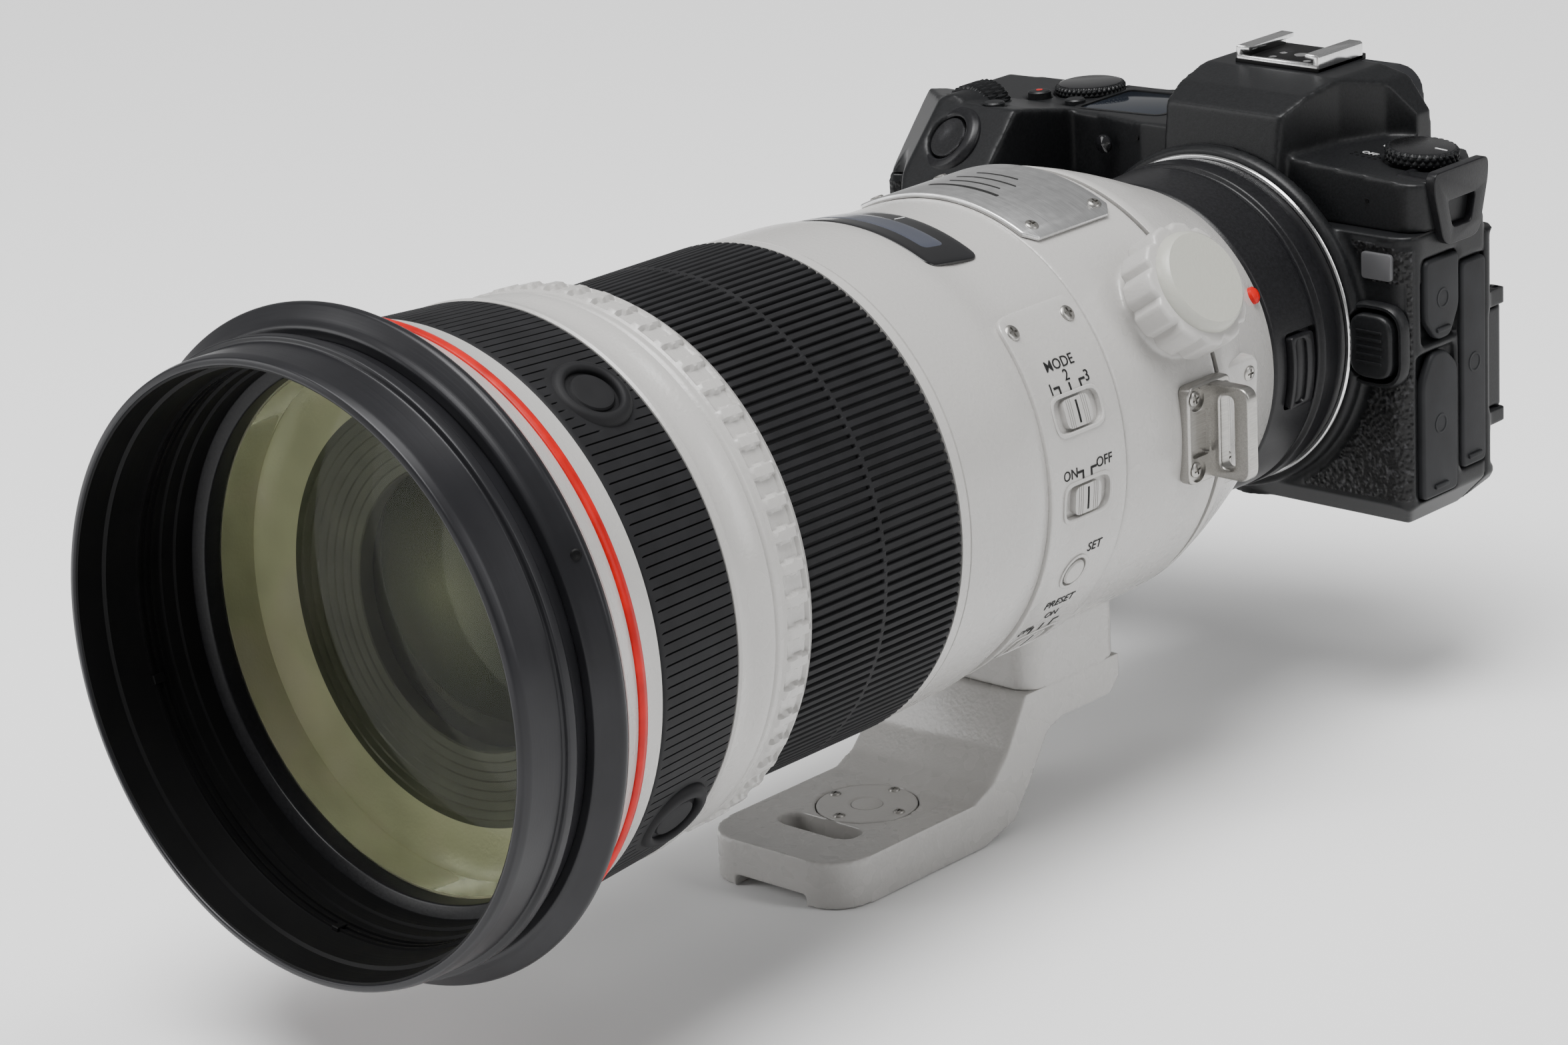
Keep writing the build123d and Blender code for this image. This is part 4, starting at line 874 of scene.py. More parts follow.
def slider(name, angle):
    """A slide switch's knob with grip lines either side of a black index line."""
    knob = prism(name, rectangle(8.0, 5.9, 1.8), -1.4, 0.25, GREY)
    grooves = []
    for place in (-2.9, -2.3, -1.7, 1.7, 2.3, 2.9):
        outline = moved(rectangle(0.22, 6.4, 0.02), place, 0)
        grooves.append(prism("groove", outline, 0.05, 0.6, GREY))
    carve(knob, *grooves)
    index = prism("index", rectangle(0.55, 4.6, 0.05), 0.2, 0.30, INK)
    return wrapped(joined(name, [knob, index]), angle, panel_top, SLOT_Y, 1.0)


def panel_marks():
    """Plain functional marks: positions, on and off, set, and the index lines of the slots."""
    rows = [
        ("MODE", 28.6, SLOT_Y - 0.6, 3.1),
        ("2", 25.4, SLOT_Y, 3.3),
        ("1", 23.2, SLOT_Y - 5.6, 3.3),
        ("3", 23.6, SLOT_Y + 5.6, 3.3),
        ("ON", 2.6, SLOT_Y - 5.2, 2.9),
        ("OFF", 3.0, SLOT_Y + 5.4, 2.9),
        ("SET", -18.6, SLOT_Y + 4.6, 2.9),
        ("PRESET", -34.0, SLOT_Y, 2.9),
        ("ON", -38.6, SLOT_Y, 2.6),
        ("OFF", -42.4, SLOT_Y - 6.0, 2.6),
    ]
    for number, (text, angle, station, size) in enumerate(rows):
        mark = lettering(f"panel_mark_{number}", text, size, INK)
        piece(wrapped(mark, angle, lambda y: panel_top(y) + 0.08, station, 1.0, 10), LENS)
    ticks = []
    for angle, stations in ((22.2, (-3.2, 0.0, 3.2)), (1.4, (-1.3, 1.3)), (-43.6, (-3.2, 0.0, 3.2))):
        for offset in stations:
            tick = prism("tick", rectangle(0.5, 2.4, 0.04), 0.0, 0.05, INK)
            if offset:
                foot_x = 0.8 if offset > 0 else -0.8
                outline = moved(rectangle(1.7, 0.5, 0.04), foot_x, 1.0)
                bar = prism("bar", outline, 0.0, 0.05, INK)
                tick = joined("tick", [tick, bar])
            ticks.append(wrapped(tick, angle, lambda y: panel_top(y) + 0.04, SLOT_Y + offset))
    piece(joined("panel_ticks", ticks), LENS)


def name_plate():
    front, back = span("name_plate")[1]
    half = math.radians(29) * 47.6
    length = back - front
    cut = 2.6
    outline = [
        (-length / 2 + cut, -half), (length / 2 - cut, -half), (length / 2, -half + cut),
        (length / 2, half - cut), (length / 2 - cut, half), (-length / 2 + cut, half),
        (-length / 2, half - cut), (-length / 2, -half + cut),
    ]
    plate = bevelled(prism("plate", outline, 0.0, 1.15, PLATE), 0.4, 3)
    station = middle((front, back))
    piece(wrapped(plate, 90, 46.45, station, 1.5), COLLAR, ["name_plate"])
    lines = []
    for row, (reach, wide) in enumerate(((9.0, 0.9), (6.6, 0.45), (7.8, 0.45), (5.4, 0.45))):
        line = prism("line", rectangle(reach * 2, wide, 0.2), 0.0, 0.04, INK)
        line.data.transform(Matrix.Rotation(math.radians(90), 4, "Z"))
        lines.append(wrapped(line, 90, 47.63, station - 6.0 + 3.6 * row, 1.0))
    piece(joined("plate_lines", lines), COLLAR)
    heads = []
    for side in (-1, 1):
        for place in (front + 4.2, back - 3.0):
            spot = on_barrel(90 - side * 25.2, 47.6, place)
            heads.append(screw(f"plate_screw_{side}_{round(place)}", spot, 1.45, STEEL))
    piece(joined("plate_screws", heads), COLLAR)


def collar():
    piece(soft_copy("collar_ring", WHITE, 0.5, 5), COLLAR, ["collar_ring"])


def lock_knob():
    place = on_barrel(33, 49.2, middle(span("lock_knob")[1]))
    outline = []
    for i in range(KNOB_FLUTES * 12):
        a = math.tau * i / (KNOB_FLUTES * 12)
        radius = 13.3 - 1.05 * max(0.0, math.cos(KNOB_FLUTES * a)) ** 2
        outline.append((radius * math.cos(a), radius * math.sin(a)))
    skirt = bevelled(prism("knob_skirt", outline, 0.0, 8.4, GREY), 0.9, 3, 50, 60)
    cap = spun(
        "knob_cap",
        [(0.01, 5.0), (10.9, 5.0), (10.9, 8.6), (10.2, 10.4), (9.6, 10.9), (0.01, 11.0)],
        CAP,
        None,
        72,
    )
    shaft = spun("knob_shaft", [(0.01, -5.4), (2.9, -5.4), (2.9, 0.2), (0.01, 0.2)], STEEL, None)
    knob = joined("lock_knob_grip", [skirt, cap, shaft])
    put(knob, place)
    piece(knob, "lock_knob", ["lock_knob"])


def strap_lugs():
    parts = []
    screws = []
    for side in (1, -1):
        face = 46.0
        place = facing((side * face, 54.5, AXIS_Z), (side, 0, 0), (0, 1, 0))
        base = prism("lug_base", rectangle(14.0, 20.6, 2.0), -0.6, 2.2, STEEL)
        bevelled(base, 0.5, 3)
        for height in (-7.4, 7.4):
            seat = prism("seat", circle(2.5, 32, (50.2 - 54.5, height)), 1.5, 4.0, STEEL)
            carve(base, seat)
        scoop = prism("scoop", moved(rectangle(5.6, 9.6, 1.0), -3.2, 0), 1.2, 4.0, STEEL)
        carve(base, scoop)
        put(base, place)
        outer = rectangle(12.2, 19.6, 3.0, 7)
        inner = moved(rectangle(3.4, 15.4, 1.6, 7), 0.6, 0)
        loop = prism("lug_loop", outer, -1.6, 1.6, STEEL)
        carve(loop, prism("loop_cutter", inner, -3, 3, STEEL))
        bevelled(loop, 0.9, 4, 50)
        upright = facing((side * (face + 5.8), 56.0, AXIS_Z), (0, 1, 0), (1, 0, 0))
        put(loop, upright)
        parts += [base, loop]
        for station in (50.2, 59.6):
            for height in (-7.4, 7.4):
                sunk = 0.6 if station < 55 else 0.0
                at = (side * (face + 2.2 - sunk), station, AXIS_Z + height)
                spot = facing(at, (side, 0, 0), (0, 0.9, 0.3))
                screws.append(screw("lug_screw", spot, 1.6, STEEL))
    piece(joined("strap_loops", parts), COLLAR, ["strap_lugs"])
    for turn in (0, 90, 180, 270):
        a = math.radians(turn)
        spot = facing((8.6 * math.cos(a), 8.6 * math.sin(a), 10.0), (0, 0, 1), (1, 0.4, 0))
        screws.append(screw("foot_screw", spot, 1.25, STEEL))
    piece(joined("collar_screw_heads", screws), COLLAR, ["collar_screws"])


def foot():
    piece(soft_copy("foot", WHITE, 0.5, 5), COLLAR, ["foot"])
    rim = [(3.2, 8.0), (10.3, 8.0), (10.4, 9.9), (9.9, 10.15), (3.9, 10.15), (3.2, 9.8)]
    disc = spun("socket_disc", rounded(rim, 0.25), GREY, count=64, hollow=True)
    dome = spun("socket_dome", [(0.01, 8.2), (3.2, 8.2), (3.2, 9.9), (2.4, 10.2), (0.01, 10.3)], GREY)
    wall = [(2.6, 0.02), (7.3, 0.02), (7.3, 8.0), (2.6, 8.0)]
    bush = spun("socket_bush", rounded(wall, 0.2), STEEL, count=64, hollow=True)
    piece(joined("foot_socket", [disc, dome, bush]), COLLAR, ["socket_plate"])


def rear_barrel():
    front, back = REAR_Y
    cone = [
        (front, 45.0), (front, 45.9), (front + 0.5, 46.1), (65.5, 45.3), (70.0, 44.0),
        (76.0, 42.0), (82.0, 39.8), (88.0, 37.4), (back - 0.5, 35.45), (back, 35.2), (back, 31.0),
        (front + 3, 40.8),
    ]
    barrel = turned("rear_cone", cone, WHITE, smooth=50)
    piece(barrel, LENS, ["rear_barrel"])
    middle_place = on_barrel(-4, 43.4, 69.8)
    switch_y = middle(span("af_mf_switch")[1]) - 69.8
    pad = bevelled(prism("af_pad", rectangle(14.4, 26.0, 3.6), -8.4, 0.0, WHITE), 0.9, 3, 50)
    carve(pad, prism("af_slot", moved(rectangle(9.4, 6.2, 2.2), switch_y, -4.6), -1.6, 1.0, WHITE))
    put(pad, middle_place)
    piece(pad, LENS)
    knob = bevelled(prism("af_slider", rectangle(5.6, 5.0, 1.7), -1.2, 0.35, GREY), 0.3, 2)
    put(knob, middle_place @ Matrix.Translation((switch_y, -4.6, 0)))
    piece(knob, "af_mf_switch", ["af_mf_switch"])
    heads = []
    for u, v in ((3.6, 9.4), (3.6, -9.4)):
        heads.append(screw("pad_screw", middle_place @ Matrix.Translation((u, v, 0.0)), 1.6, STEEL))
    for angle, station in ((39.0, 6.6), (39.0, 24.0)):
        heads.append(screw("panel_screw", on_barrel(angle, panel_top(station) + 0.05, station), 1.7, STEEL))
    piece(joined("lens_screw_heads", heads), LENS, ["lens_screws"])
    for number, (text, u, v) in enumerate((("AF", -2.6, 2.6), ("MF", 3.6, 2.2))):
        mark = lettering(f"focus_mark_{number}", text, 3.0, INK)
        piece(put(mark, middle_place @ Matrix.Translation((u, v, 0.05))), LENS)
    dot = [(0.01, -0.6), (1.9, -0.6), (1.8, 0.5), (1.1, 1.1), (0.01, 1.3)]
    slope = facing(lens_point(27.5, 36.8, 90.3), (math.cos(0.48), 0.38, math.sin(0.48)), (0, 1, 0))
    piece(spun("mount_dot", dot, RED, slope), LENS)


def filter_holder():
    piece(soft_copy("filter_holder", WHITE, 0.5, 3), "filter_holder", ["filter_holder"])
    low, high = span("filter_holder")[0], span("filter_holder")[1]
    latch = bevelled(prism("filter_latch", rectangle(4.6, 15.0, 1.6), -1.0, 1.6, GREY), 0.5, 3)
    place = facing((low[0] + 0.3, middle(high), AXIS_Z), (-1, 0, 0), (0, 1, 0))
    put(latch, place)
    piece(latch, "filter_holder")


def adapter():
    front, back = span("adapter_shell")[1]
    shell = rounded(
        [
            (front + 0.1, 33.6), (front + 0.1, 34.6), (front + 1.2, 35.3), (107.6, 35.8),
            (108.6, 35.6), (109.2, 34.9), (110.2, 34.9), (110.8, 36.0), (115.0, 36.1),
            (back - 1.1, 35.4), (back - 0.9, 33.0),
        ],
        0.35,
    )
    ring = turned("adapter_ring", shell + [(back - 0.9, 30.0), (front + 0.1, 30.0)], ADAPTER, smooth=40)
    pocket = prism("slide_pocket", rectangle(10.8, 16.8, 1.4), -1.4, 4.0, ADAPTER)
    wrapped(pocket, -2.5, 35.2, 103.4, 1.5)
    carve(ring, pocket)
    piece(ring, LENS, ["adapter_shell"])
    bright = rounded([(back - 1.0, 34.6), (back - 1.0, 36.1), (back - 0.4, 36.4), (back - 0.4, 34.6)], 0.12)
    piece(turned("bright_ring", bright, BRIGHT), LENS)
    slide_front, slide_back = span("adapter_release")[1]
    knob = prism("release_slide", rectangle(slide_back - slide_front, 15.4, 1.0), -1.6, 1.5, ADAPTER)
    scoop = prism("scoop", moved(rectangle(3.4, 13.6, 1.2), -0.6, 0), 0.7, 2.5, ADAPTER)
    carve(knob, scoop)
    bevelled(knob, 0.25, 2)
    station = middle((slide_front, slide_back))
    piece(wrapped(knob, -2.5, 35.4, station, 1.5), "adapter_release", ["adapter_release"])
    mark = bevelled(prism("adapter_mark", rectangle(1.5, 2.6, 0.7), -0.2, 0.12, RED), 0.08, 2)
    piece(wrapped(mark, 27, 35.8, back - 7.0), LENS)


# ---------------------------------------------------------------- the camera
SIDE_X = 49.0                # flat left side of the camera
FRONT_Y = 123.0              # flat front behind the adapter


def deck(x):
    """Height of the sloping decks on both sides of the viewfinder hump."""
    return along([(-87, 120.1), (-16, 122.9), (15, 119.9), (50, 117.5)], x)


def deck_place(x, y, height):
    tilt = 0.04 if x < 0 else -0.07
    return facing((x, y, height), (-tilt, 0, 1), (1, 0, tilt))


def skinned(obj, wanted, lift=0.28):
    """Lays leatherette over the faces that the test picks, standing a little proud."""
    mesh = obj.data
    mesh.materials.append(SKIN)
    raised = {}
    for polygon in mesh.polygons:
        if wanted(polygon.center / MM, polygon.normal):
            polygon.material_index = 1
            for index in polygon.vertices:
                raised.setdefault(index, polygon.normal.copy())
    for index, normal in raised.items():
        mesh.vertices[index].co += normal * lift * MM
    shade(mesh, 60)
    return obj


def camera_body():
    def covered(place, normal):
        x, y, z = place
        top = along([(-60, 105.0), (36, 105.5), (49, 104.0)], x)
        if z < 49.0 or z > top or abs(normal.z) > 0.6 or y > 160:
            return False
        if normal.x > 0.7 and x > 40:
            return not 125.4 < y < 152.4
        away = math.hypot(x, z - AXIS_Z)
        return away > 40.5 and not (x > 26 and 75 < z < 97)

    body = skinned(soft_copy("body_shell", BODY, 0.6, 4), covered)
    piece(body, LENS, ["body_shell"])
    piece(soft_copy("top_cover", BODY, 0.5, 12), LENS, ["top_cover"])
    piece(soft_copy("rear_cover", BODY, 0.6, 3), LENS, ["rear_cover"])
    seam = bevelled(prism("side_seam", rectangle(26.0, 0.5, 0.1), 0.0, 0.12, LINING), 0.05, 1)
    piece(put(seam, facing((SIDE_X, 136.5, 107.0), (1, 0, 0), (0, 1, 0))), LENS)


def side_covers():
    """The three rubber covers over the sockets."""
    shapes = {}
    (y0, y1), (z0, z1) = span("remote_cover")[1:]
    low_end = [(y1, z0 + 6), (y1 - 3.6, z0), (y0 + 4.2, z0), (y0, z0 + 5)]
    shapes["remote_cover"] = [(y0, z1), (y1, z1)] + low_end
    (y0, y1), (z0, z1) = span("mic_cover")[1:]
    shapes["mic_cover"] = [(y0, z0), (y1, z0), (y1, z1 - 4), (y1 - 4.4, z1), (y0 + 3.6, z1), (y0, z1 - 6)]
    (y0, y1), (z0, z1) = span("usb_cover")[1:]
    shapes["usb_cover"] = [(y0, z0), (y1, z0), (y1, z1), (y0, z1)]
    for node, outline in shapes.items():
        out = span(node)[0][1]
        outline = [(y + 0.12 * (1 if y < 140 else -1), z) for y, z in outline]
        pad = prism(node + "_pad", rounded(outline, 1.8, 5), out - 1.9, out + 0.25, SOFT, "X")
        bevelled(pad, 0.7, 4, 50)
        mark_y = middle((min(y for y, z in outline), max(y for y, z in outline)))
        mark_z = middle((min(z for y, z in outline), max(z for y, z in outline)))
        place = facing((out + 0.25, mark_y, mark_z), (1, 0, 0), (0, 1, 0))
        icon = bordered(node + "_icon", circle(2.2, 32), circle(1.7, 32), 0.14, SOFT)
        parts = [pad, put(icon, place)]
        lip = prism(node + "_lip", rectangle(5.0, 1.0, 0.45), -0.2, 0.5, SOFT)
        bevelled(lip, 0.2, 2)
        low = min(z for y, z in outline) + 2.2
        parts.append(put(lip, facing((out + 0.25, mark_y, low), (1, 0, 0), (0, 1, 0))))
        piece(joined(node + "_flap", parts), node, [node])


def strap_lug(side):
    """A black metal loop for the neck strap, bent over from the deck to the side."""
    middle_y = 139.9 if side > 0 else 137.0
    outline = [(-10.0, 8.2), (-10.0, 4.0), (-6.4, -8.2), (6.4, -8.2), (10.0, 4.0), (10.0, 8.2)]
    plate = prism(f"strap_plate_{side}", rounded(outline, 3.0, 6), -0.9, 1.5, ADAPTER)
    slot = [(-4.9, 1.4), (-4.9, 0.6), (-3.4, -4.6), (3.4, -4.6), (4.9, 0.6), (4.9, 1.4)]
    carve(plate, prism("strap_slot", rounded(slot, 1.2, 5), -3, 4, ADAPTER))
    bevelled(plate, 0.7, 4, 50)
    x = SIDE_X + 0.3 if side > 0 else -85.6
    place = facing((x, middle_y, 111.6), (side, 0, 0), (0, side, 0))
    piece(put(plate, place), LENS)
    if side > 0:
        bend = prism("strap_bend", moved(rectangle(9.4, 20.0, 2.2, 6), 0.1, 0), -1.6, 1.0, ADAPTER)
        carve(bend, prism("bend_slot", rectangle(5.8, 13.2, 1.6), -3, 4, ADAPTER))
        bevelled(bend, 0.6, 3, 50)
        piece(put(bend, deck_place(x - 5.0, middle_y, 117.0)), LENS)


def knurled(name, radius, low, high, look, place, count=36, depth=0.45, bands=5):
    """A wheel with a diamond knurl round its edge and chamfered ends."""
    steps = count * 6
    levels = [low + (high - low) * k / (bands * 4) for k in range(bands * 4 + 1)]
    verts = []
    for i in range(steps):
        a = math.tau * i / steps
        for level in levels:
            rise = (level - low) / (high - low)
            left = abs((i / 6 + rise * bands / 2) % 1.0 - 0.5) * 2
            right = abs((i / 6 - rise * bands / 2) % 1.0 - 0.5) * 2
            end = min(1.0, (level - low) / 0.5, (high - level) / 0.5)
            r = radius - depth * (1 - min(1.0, 1.6 * min(left, right) + 0.1)) - 0.5 * (1 - end)
            verts.append((r * math.cos(a), r * math.sin(a), level))
    return add_mesh(name, verts, ring_faces(steps, len(levels), False), look, 30, place)


def top_controls():
    (x0, x1), (y0, y1), (z0, z1) = span("power_dial")
    cx, cy = middle((x0, x1)), middle((y0, y1))
    radius = (x1 - x0) / 2
    tilt = deck_place(cx, cy, z1)
    edge = knurled("power_edge", radius, -3.2, -0.15, BODY, tilt, 30, 0.5, 3)
    disc = spun(
        "power_top",
        [(0.01, -0.6), (radius - 1.0, -0.6), (radius - 1.0, -0.1), (radius - 1.5, 0.05), (0.01, -0.05)],
        SPUN,
        tilt,
        72,
    )
    line = prism("power_line", rectangle(3.0, 0.5, 0.1), 0.0, 0.1, PALE_INK)
    put(line, tilt @ Matrix.Translation((radius - 3.2, 0, 0)))
    piece(joined("power_wheel", [edge, disc, line]), "power_dial", ["power_dial"])
    for number, (text, x, y) in enumerate((("ON", cx - 10.6, cy + 3.4), ("OFF", cx - 11.0, cy - 3.6))):
        mark = lettering(f"power_mark_{number}", text, 2.2, PALE_INK)
        piece(put(mark, deck_place(x, y, deck(x) + 0.04)), LENS)

    (x0, x1), (y0, y1), (z0, z1) = span("rear_dial")
    cx, cy = middle((x0, x1)), middle((y0, y1))
    radius = (x1 - x0) / 2
    tilt = deck_place(cx, cy, z1)
    edge = knurled("rear_wheel_edge", radius, -2.6, -0.1, BODY, tilt, 40, 0.45, 3)
    top = spun(
        "rear_wheel_top",
        [(0.01, -0.6), (radius - 0.9, -0.6), (radius - 0.9, 0.0), (radius - 1.6, 0.22), (0.01, 0.05)],
        GLOSS,
        tilt,
        72,
    )
    piece(joined("rear_wheel", [edge, top]), "rear_dial", ["rear_dial"])

    (x0, x1), (y0, y1), (z0, z1) = span("front_dial")
    centre = (middle((x0, x1)), y1, middle((z0, z1)))
    radius = (x1 - x0) / 2
    turn = facing(centre, (0, -1, 0), (1, 0, 0))
    wheel = knurled("front_wheel_edge", radius, 0.1, y1 - y0 - 0.1, BODY, turn, 34, 0.5, 3)
    hub = spun(
        "front_wheel_hub",
        [
            (0.01, 0.0), (radius - 1.2, 0.0), (radius - 1.2, y1 - y0),
            (radius - 2.4, y1 - y0 + 0.3), (0.01, y1 - y0 + 0.3),
        ],
        BODY,
        turn,
    )
    piece(joined("front_wheel", [wheel, hub]), "front_dial", ["front_dial"])

    place = facing((-62.5, 107.0, 118.6), (-0.171, -0.754, 0.635), (1, 0, 0))
    cone = [(0.01, -1.0), (5.0, -1.0), (5.0, -0.3), (4.7, 0.25), (4.0, 0.35), (2.0, -0.15), (0.01, -0.3)]
    piece(spun("shutter_disc", cone, SPUN, place, 64, 25), "shutter_button", ["shutter_button"])
    ring = rounded([(5.25, -1.8), (5.25, 0.1), (6.0, 0.55), (7.4, 0.2), (8.4, -0.8), (8.4, -1.8)], 0.4)
    piece(spun("shutter_collar", ring, ADAPTER, place, 64, hollow=True), LENS)

    for node, look in (("mfn_button", BODY), ("record_button", BODY), ("lamp_button", BODY)):
        (x0, x1), (y0, y1), (z0, z1) = span(node)
        radius = (x1 - x0) / 2
        spot = deck_place(middle((x0, x1)), middle((y0, y1)), z1)
        dome = [(0.01, -2.0), (radius, -2.0), (radius, -0.35)]
        dome += [(radius * 0.85, -0.02), (radius * 0.4, 0.08), (0.01, 0.1)]
        cap = spun(node + "_cap", dome, look, spot, 40)
        parts = [cap]
        if node == "record_button":
            dot = [(0.01, 0.0), (0.8, 0.0), (0.75, 0.14), (0.01, 0.16)]
            parts.append(spun("record_dot", dot, RED, spot, 24))
        piece(joined(node + "_dome", parts), node, [node])

    frame_place = facing((-36.0, 143.5, 122.06), (-0.04, 0, 1), (1, 0, 0.04))
    glass = bevelled(prism("display_pane", rectangle(22.3, 18.5, 1.6), -1.0, -0.15, SCREEN), 0.2, 2)
    piece(put(glass, frame_place), LENS, ["top_display"])
    edge = bordered("display_edge", rectangle(25.0, 21.2, 2.6), rectangle(22.6, 18.8, 1.7), 0.22, BODY)
    piece(put(edge, frame_place), LENS)


def hump_parts():
    (x0, x1), (y0, y1), (z0, z1) = span("hot_shoe")
    outline = [(x0, y0), (x1, y0), (x1, y1), (x0, y1)]
    base = bevelled(prism("shoe_base", outline, z0 - 0.5, z0 + 0.9, LINING), 0.2, 2)
    rails = []
    for side in (-1, 1):
        outer = side * x1
        inner = side * (x1 - 3.6)
        profile = [
            (outer, z0 - 0.2), (outer, z1 - 0.4), (outer - side * 0.5, z1), (inner, z1),
            (inner, z1 - 1.1), (outer - side * 1.5, z1 - 1.1), (outer - side * 1.5, z0 - 0.2),
        ]
        rail = prism(f"shoe_rail_{side}", profile, y0 + 0.3, y1 - 1.2, BRIGHT, "Y")
        rails.append(bevelled(rail, 0.18, 2))
    left, right, low, high = x0 + 0.3, x1 - 0.3, z0 - 0.2, z0 + 1.7
    outline = [(left, low), (right, low), (right, high), (left, high)]
    stop = prism("shoe_stop", outline, y0 + 0.2, y0 + 1.2, BRIGHT, "Y")
    rails.append(bevelled(stop, 0.2, 2))
    pins = []
    for x, y, r in ((0, 153.5, 1.7), (-4.6, 149.0, 0.9), (4.6, 149.0, 0.9), (-4.6, 153.0, 0.9)):
        place = Matrix.Translation((x, y, z0 + 0.9))
        head = [(0.01, -0.3), (r, -0.3), (r, 0.05), (r * 0.6, 0.16), (0.01, 0.18)]
        pins.append(spun("pin", head, BRIGHT, place, 24))
    piece(joined("shoe_metal", rails + pins), LENS, ["hot_shoe"])
    piece(base, LENS)
    piece(soft_copy("eyecup", SOFT, 0.5, 6), LENS, ["eyecup"])
    (x0, x1), (y0, y1), (z0, z1) = span("eyecup")
    outline = moved(rectangle(22.0, 14.2, 2.5), 0, 120.0)
    pane = prism("eyepiece_glass", outline, 157.0, 159.4, GLOSS, "Y")
    piece(bevelled(pane, 0.5, 3), LENS)


def front_details():
    lens = [(0.01, -0.5), (2.1, -0.5), (2.1, 0.0), (1.5, 0.5), (0.01, 0.7)]
    plate = bevelled(prism("badge", rectangle(7.6, 5.8, 0.9), -0.6, 0.75, BADGE), 0.2, 2)
    piece(put(plate, facing((41.2, FRONT_Y - 0.3, 100.4), (0, -1, 0), (1, 0, 0))), LENS)
    # Dark dishes for the microphone holes: painted shade in place of the holes.
    for number, (x, z, r) in enumerate(((-25.0, 119.0, 0.55), (36.0, 113.0, 0.55))):
        spot = facing((x, 126.35, z), (0, -1, 0), (1, 0, 0))
        dish = [(0.01, -0.2), (r, -0.2), (r * 0.9, 0.05), (0.01, 0.02)]
        piece(spun(f"microphone_{number}", dish, LINING, spot, 24), LENS)
    piece(spun("lamp_window", lens, GLOSS, facing((-34.4, 126.4, 116.4), (0, -1, 0), (1, 0, 0)), 32), LENS)
    # Dark dots for the speaker holes: painted shade in place of the holes.
    dots = []
    for k in range(5):
        for row in range(2):
            x = 24.2 + 1.5 * k
            y = 137.6 + 1.6 * row
            at = deck_place(x, y, deck(x) + 0.02)
            dot = [(0.01, -0.1), (0.42, -0.1), (0.36, 0.06), (0.01, 0.04)]
            dots.append(spun("dot", dot, LINING, at, 16))
    piece(joined("speaker_dots", dots), LENS)

    (x0, x1), (front, _), (z0, z1) = span("lens_release")
    cx, cz = middle((x0, x1)), middle((z0, z1))
    place = facing((cx, front, cz), (0, -1, 0), (1, 0, 0))
    cap = bevelled(prism("release_cap", rectangle(x1 - x0, z1 - z0, 4.4, 8), -6.0, 0.1, BODY), 0.9, 4, 50)
    grip = []
    for k in range(5):
        bar = prism("bar", [(u, v - 3.4 + 1.7 * k) for u, v in rectangle(6.6, 0.6, 0.25)], 0.0, 0.45, BODY)
        grip.append(put(bevelled(bar, 0.15, 2), place))
    piece(joined("release_button", [put(cap, place)] + grip), "lens_release", ["lens_release"])
    rim = bordered(
        "release_rim",
        rectangle(x1 - x0 + 4.4, z1 - z0 + 4.4, 6.2, 8),
        rectangle(x1 - x0 + 1.4, z1 - z0 + 1.4, 5.0, 8),
        2.3,
        BODY,
    )
    piece(put(rim, facing((cx, FRONT_Y, cz), (0, -1, 0), (1, 0, 0))), LENS)


def back_parts():
    (x0, x1), (y0, y1), (z0, z1) = span("rear_screen")
    place = facing((middle((x0, x1)), y1, middle((z0, z1))), (0, 1, 0), (-1, 0, 0))
    width, height = x1 - x0, z1 - z0
    shell = prism("screen_shell", rectangle(width, height, 2.2), -(y1 - y0) + 0.1, -0.35, BODY)
    bevelled(shell, 0.7, 4, 50)
    pane = prism("screen_pane", rectangle(width - 2.4, height - 2.4, 1.4), -0.8, -0.02, SCREEN)
    bevelled(pane, 0.2, 2)
    picture = prism("screen_picture", rectangle(width - 12, height - 9, 0.4), -0.2, 0.02, SCALE)
    bevelled(picture, 0.02, 1)
    screen = joined("screen_panel", [put(shell, place), put(pane, place), put(picture, place)])
    piece(screen, "screen", ["rear_screen"])
    piece(soft_copy("screen_arm", BODY, 0.4, 3), "screen", ["screen_arm"])

    (x0, x1), (y0, y1), (z0, z1) = span("rear_pad")
    spot = facing((middle((x0, x1)), y1, middle((z0, z1))), (0, 1, 0), (1, 0, 0))
    radius = (x1 - x0) / 2
    ring = knurled("pad_ring", radius, -1.3, -0.05, BODY, spot, 48, 0.35, 2)
    hub = [(0.01, -0.5), (radius * 0.62, -0.5), (radius * 0.62, 0.02), (radius * 0.5, 0.1), (0.01, -0.1)]
    centre = spun("pad_hub", hub, ADAPTER, spot)
    piece(joined("rear_wheel_pad", [ring, centre]), "rear_pad", ["rear_pad"])


def doors():
    (x0, x1), (y0, y1), (z0, z1) = span("battery_door")
    outline = [(u + middle((x0, x1)), v + middle((y0, y1))) for u, v in rectangle(x1 - x0, y1 - y0, 1.6)]
    door = bevelled(prism("battery_hatch", outline, z0, z1, BODY), 0.35, 3, 50)
    groove = [(u + middle((x0, x1)), v + y0 + 8) for u, v in rectangle(10, 4.0, 1.9)]
    carve(door, prism("hatch_thumb", groove, z0 - 1, z0 + 0.6, BODY))
    piece(door, "battery_door", ["battery_door"])
    (x0, x1), (y0, y1), (z0, z1) = span("card_door")
    outline = [(u + middle((y0, y1)), v + middle((z0, z1))) for u, v in rectangle(y1 - y0, z1 - z0, 1.8)]
    hatch = bevelled(prism("card_hatch", outline, x0 - 0.1, x1, SKIN, "X"), 0.35, 3, 50)
    piece(hatch, "card_door", ["card_door"])


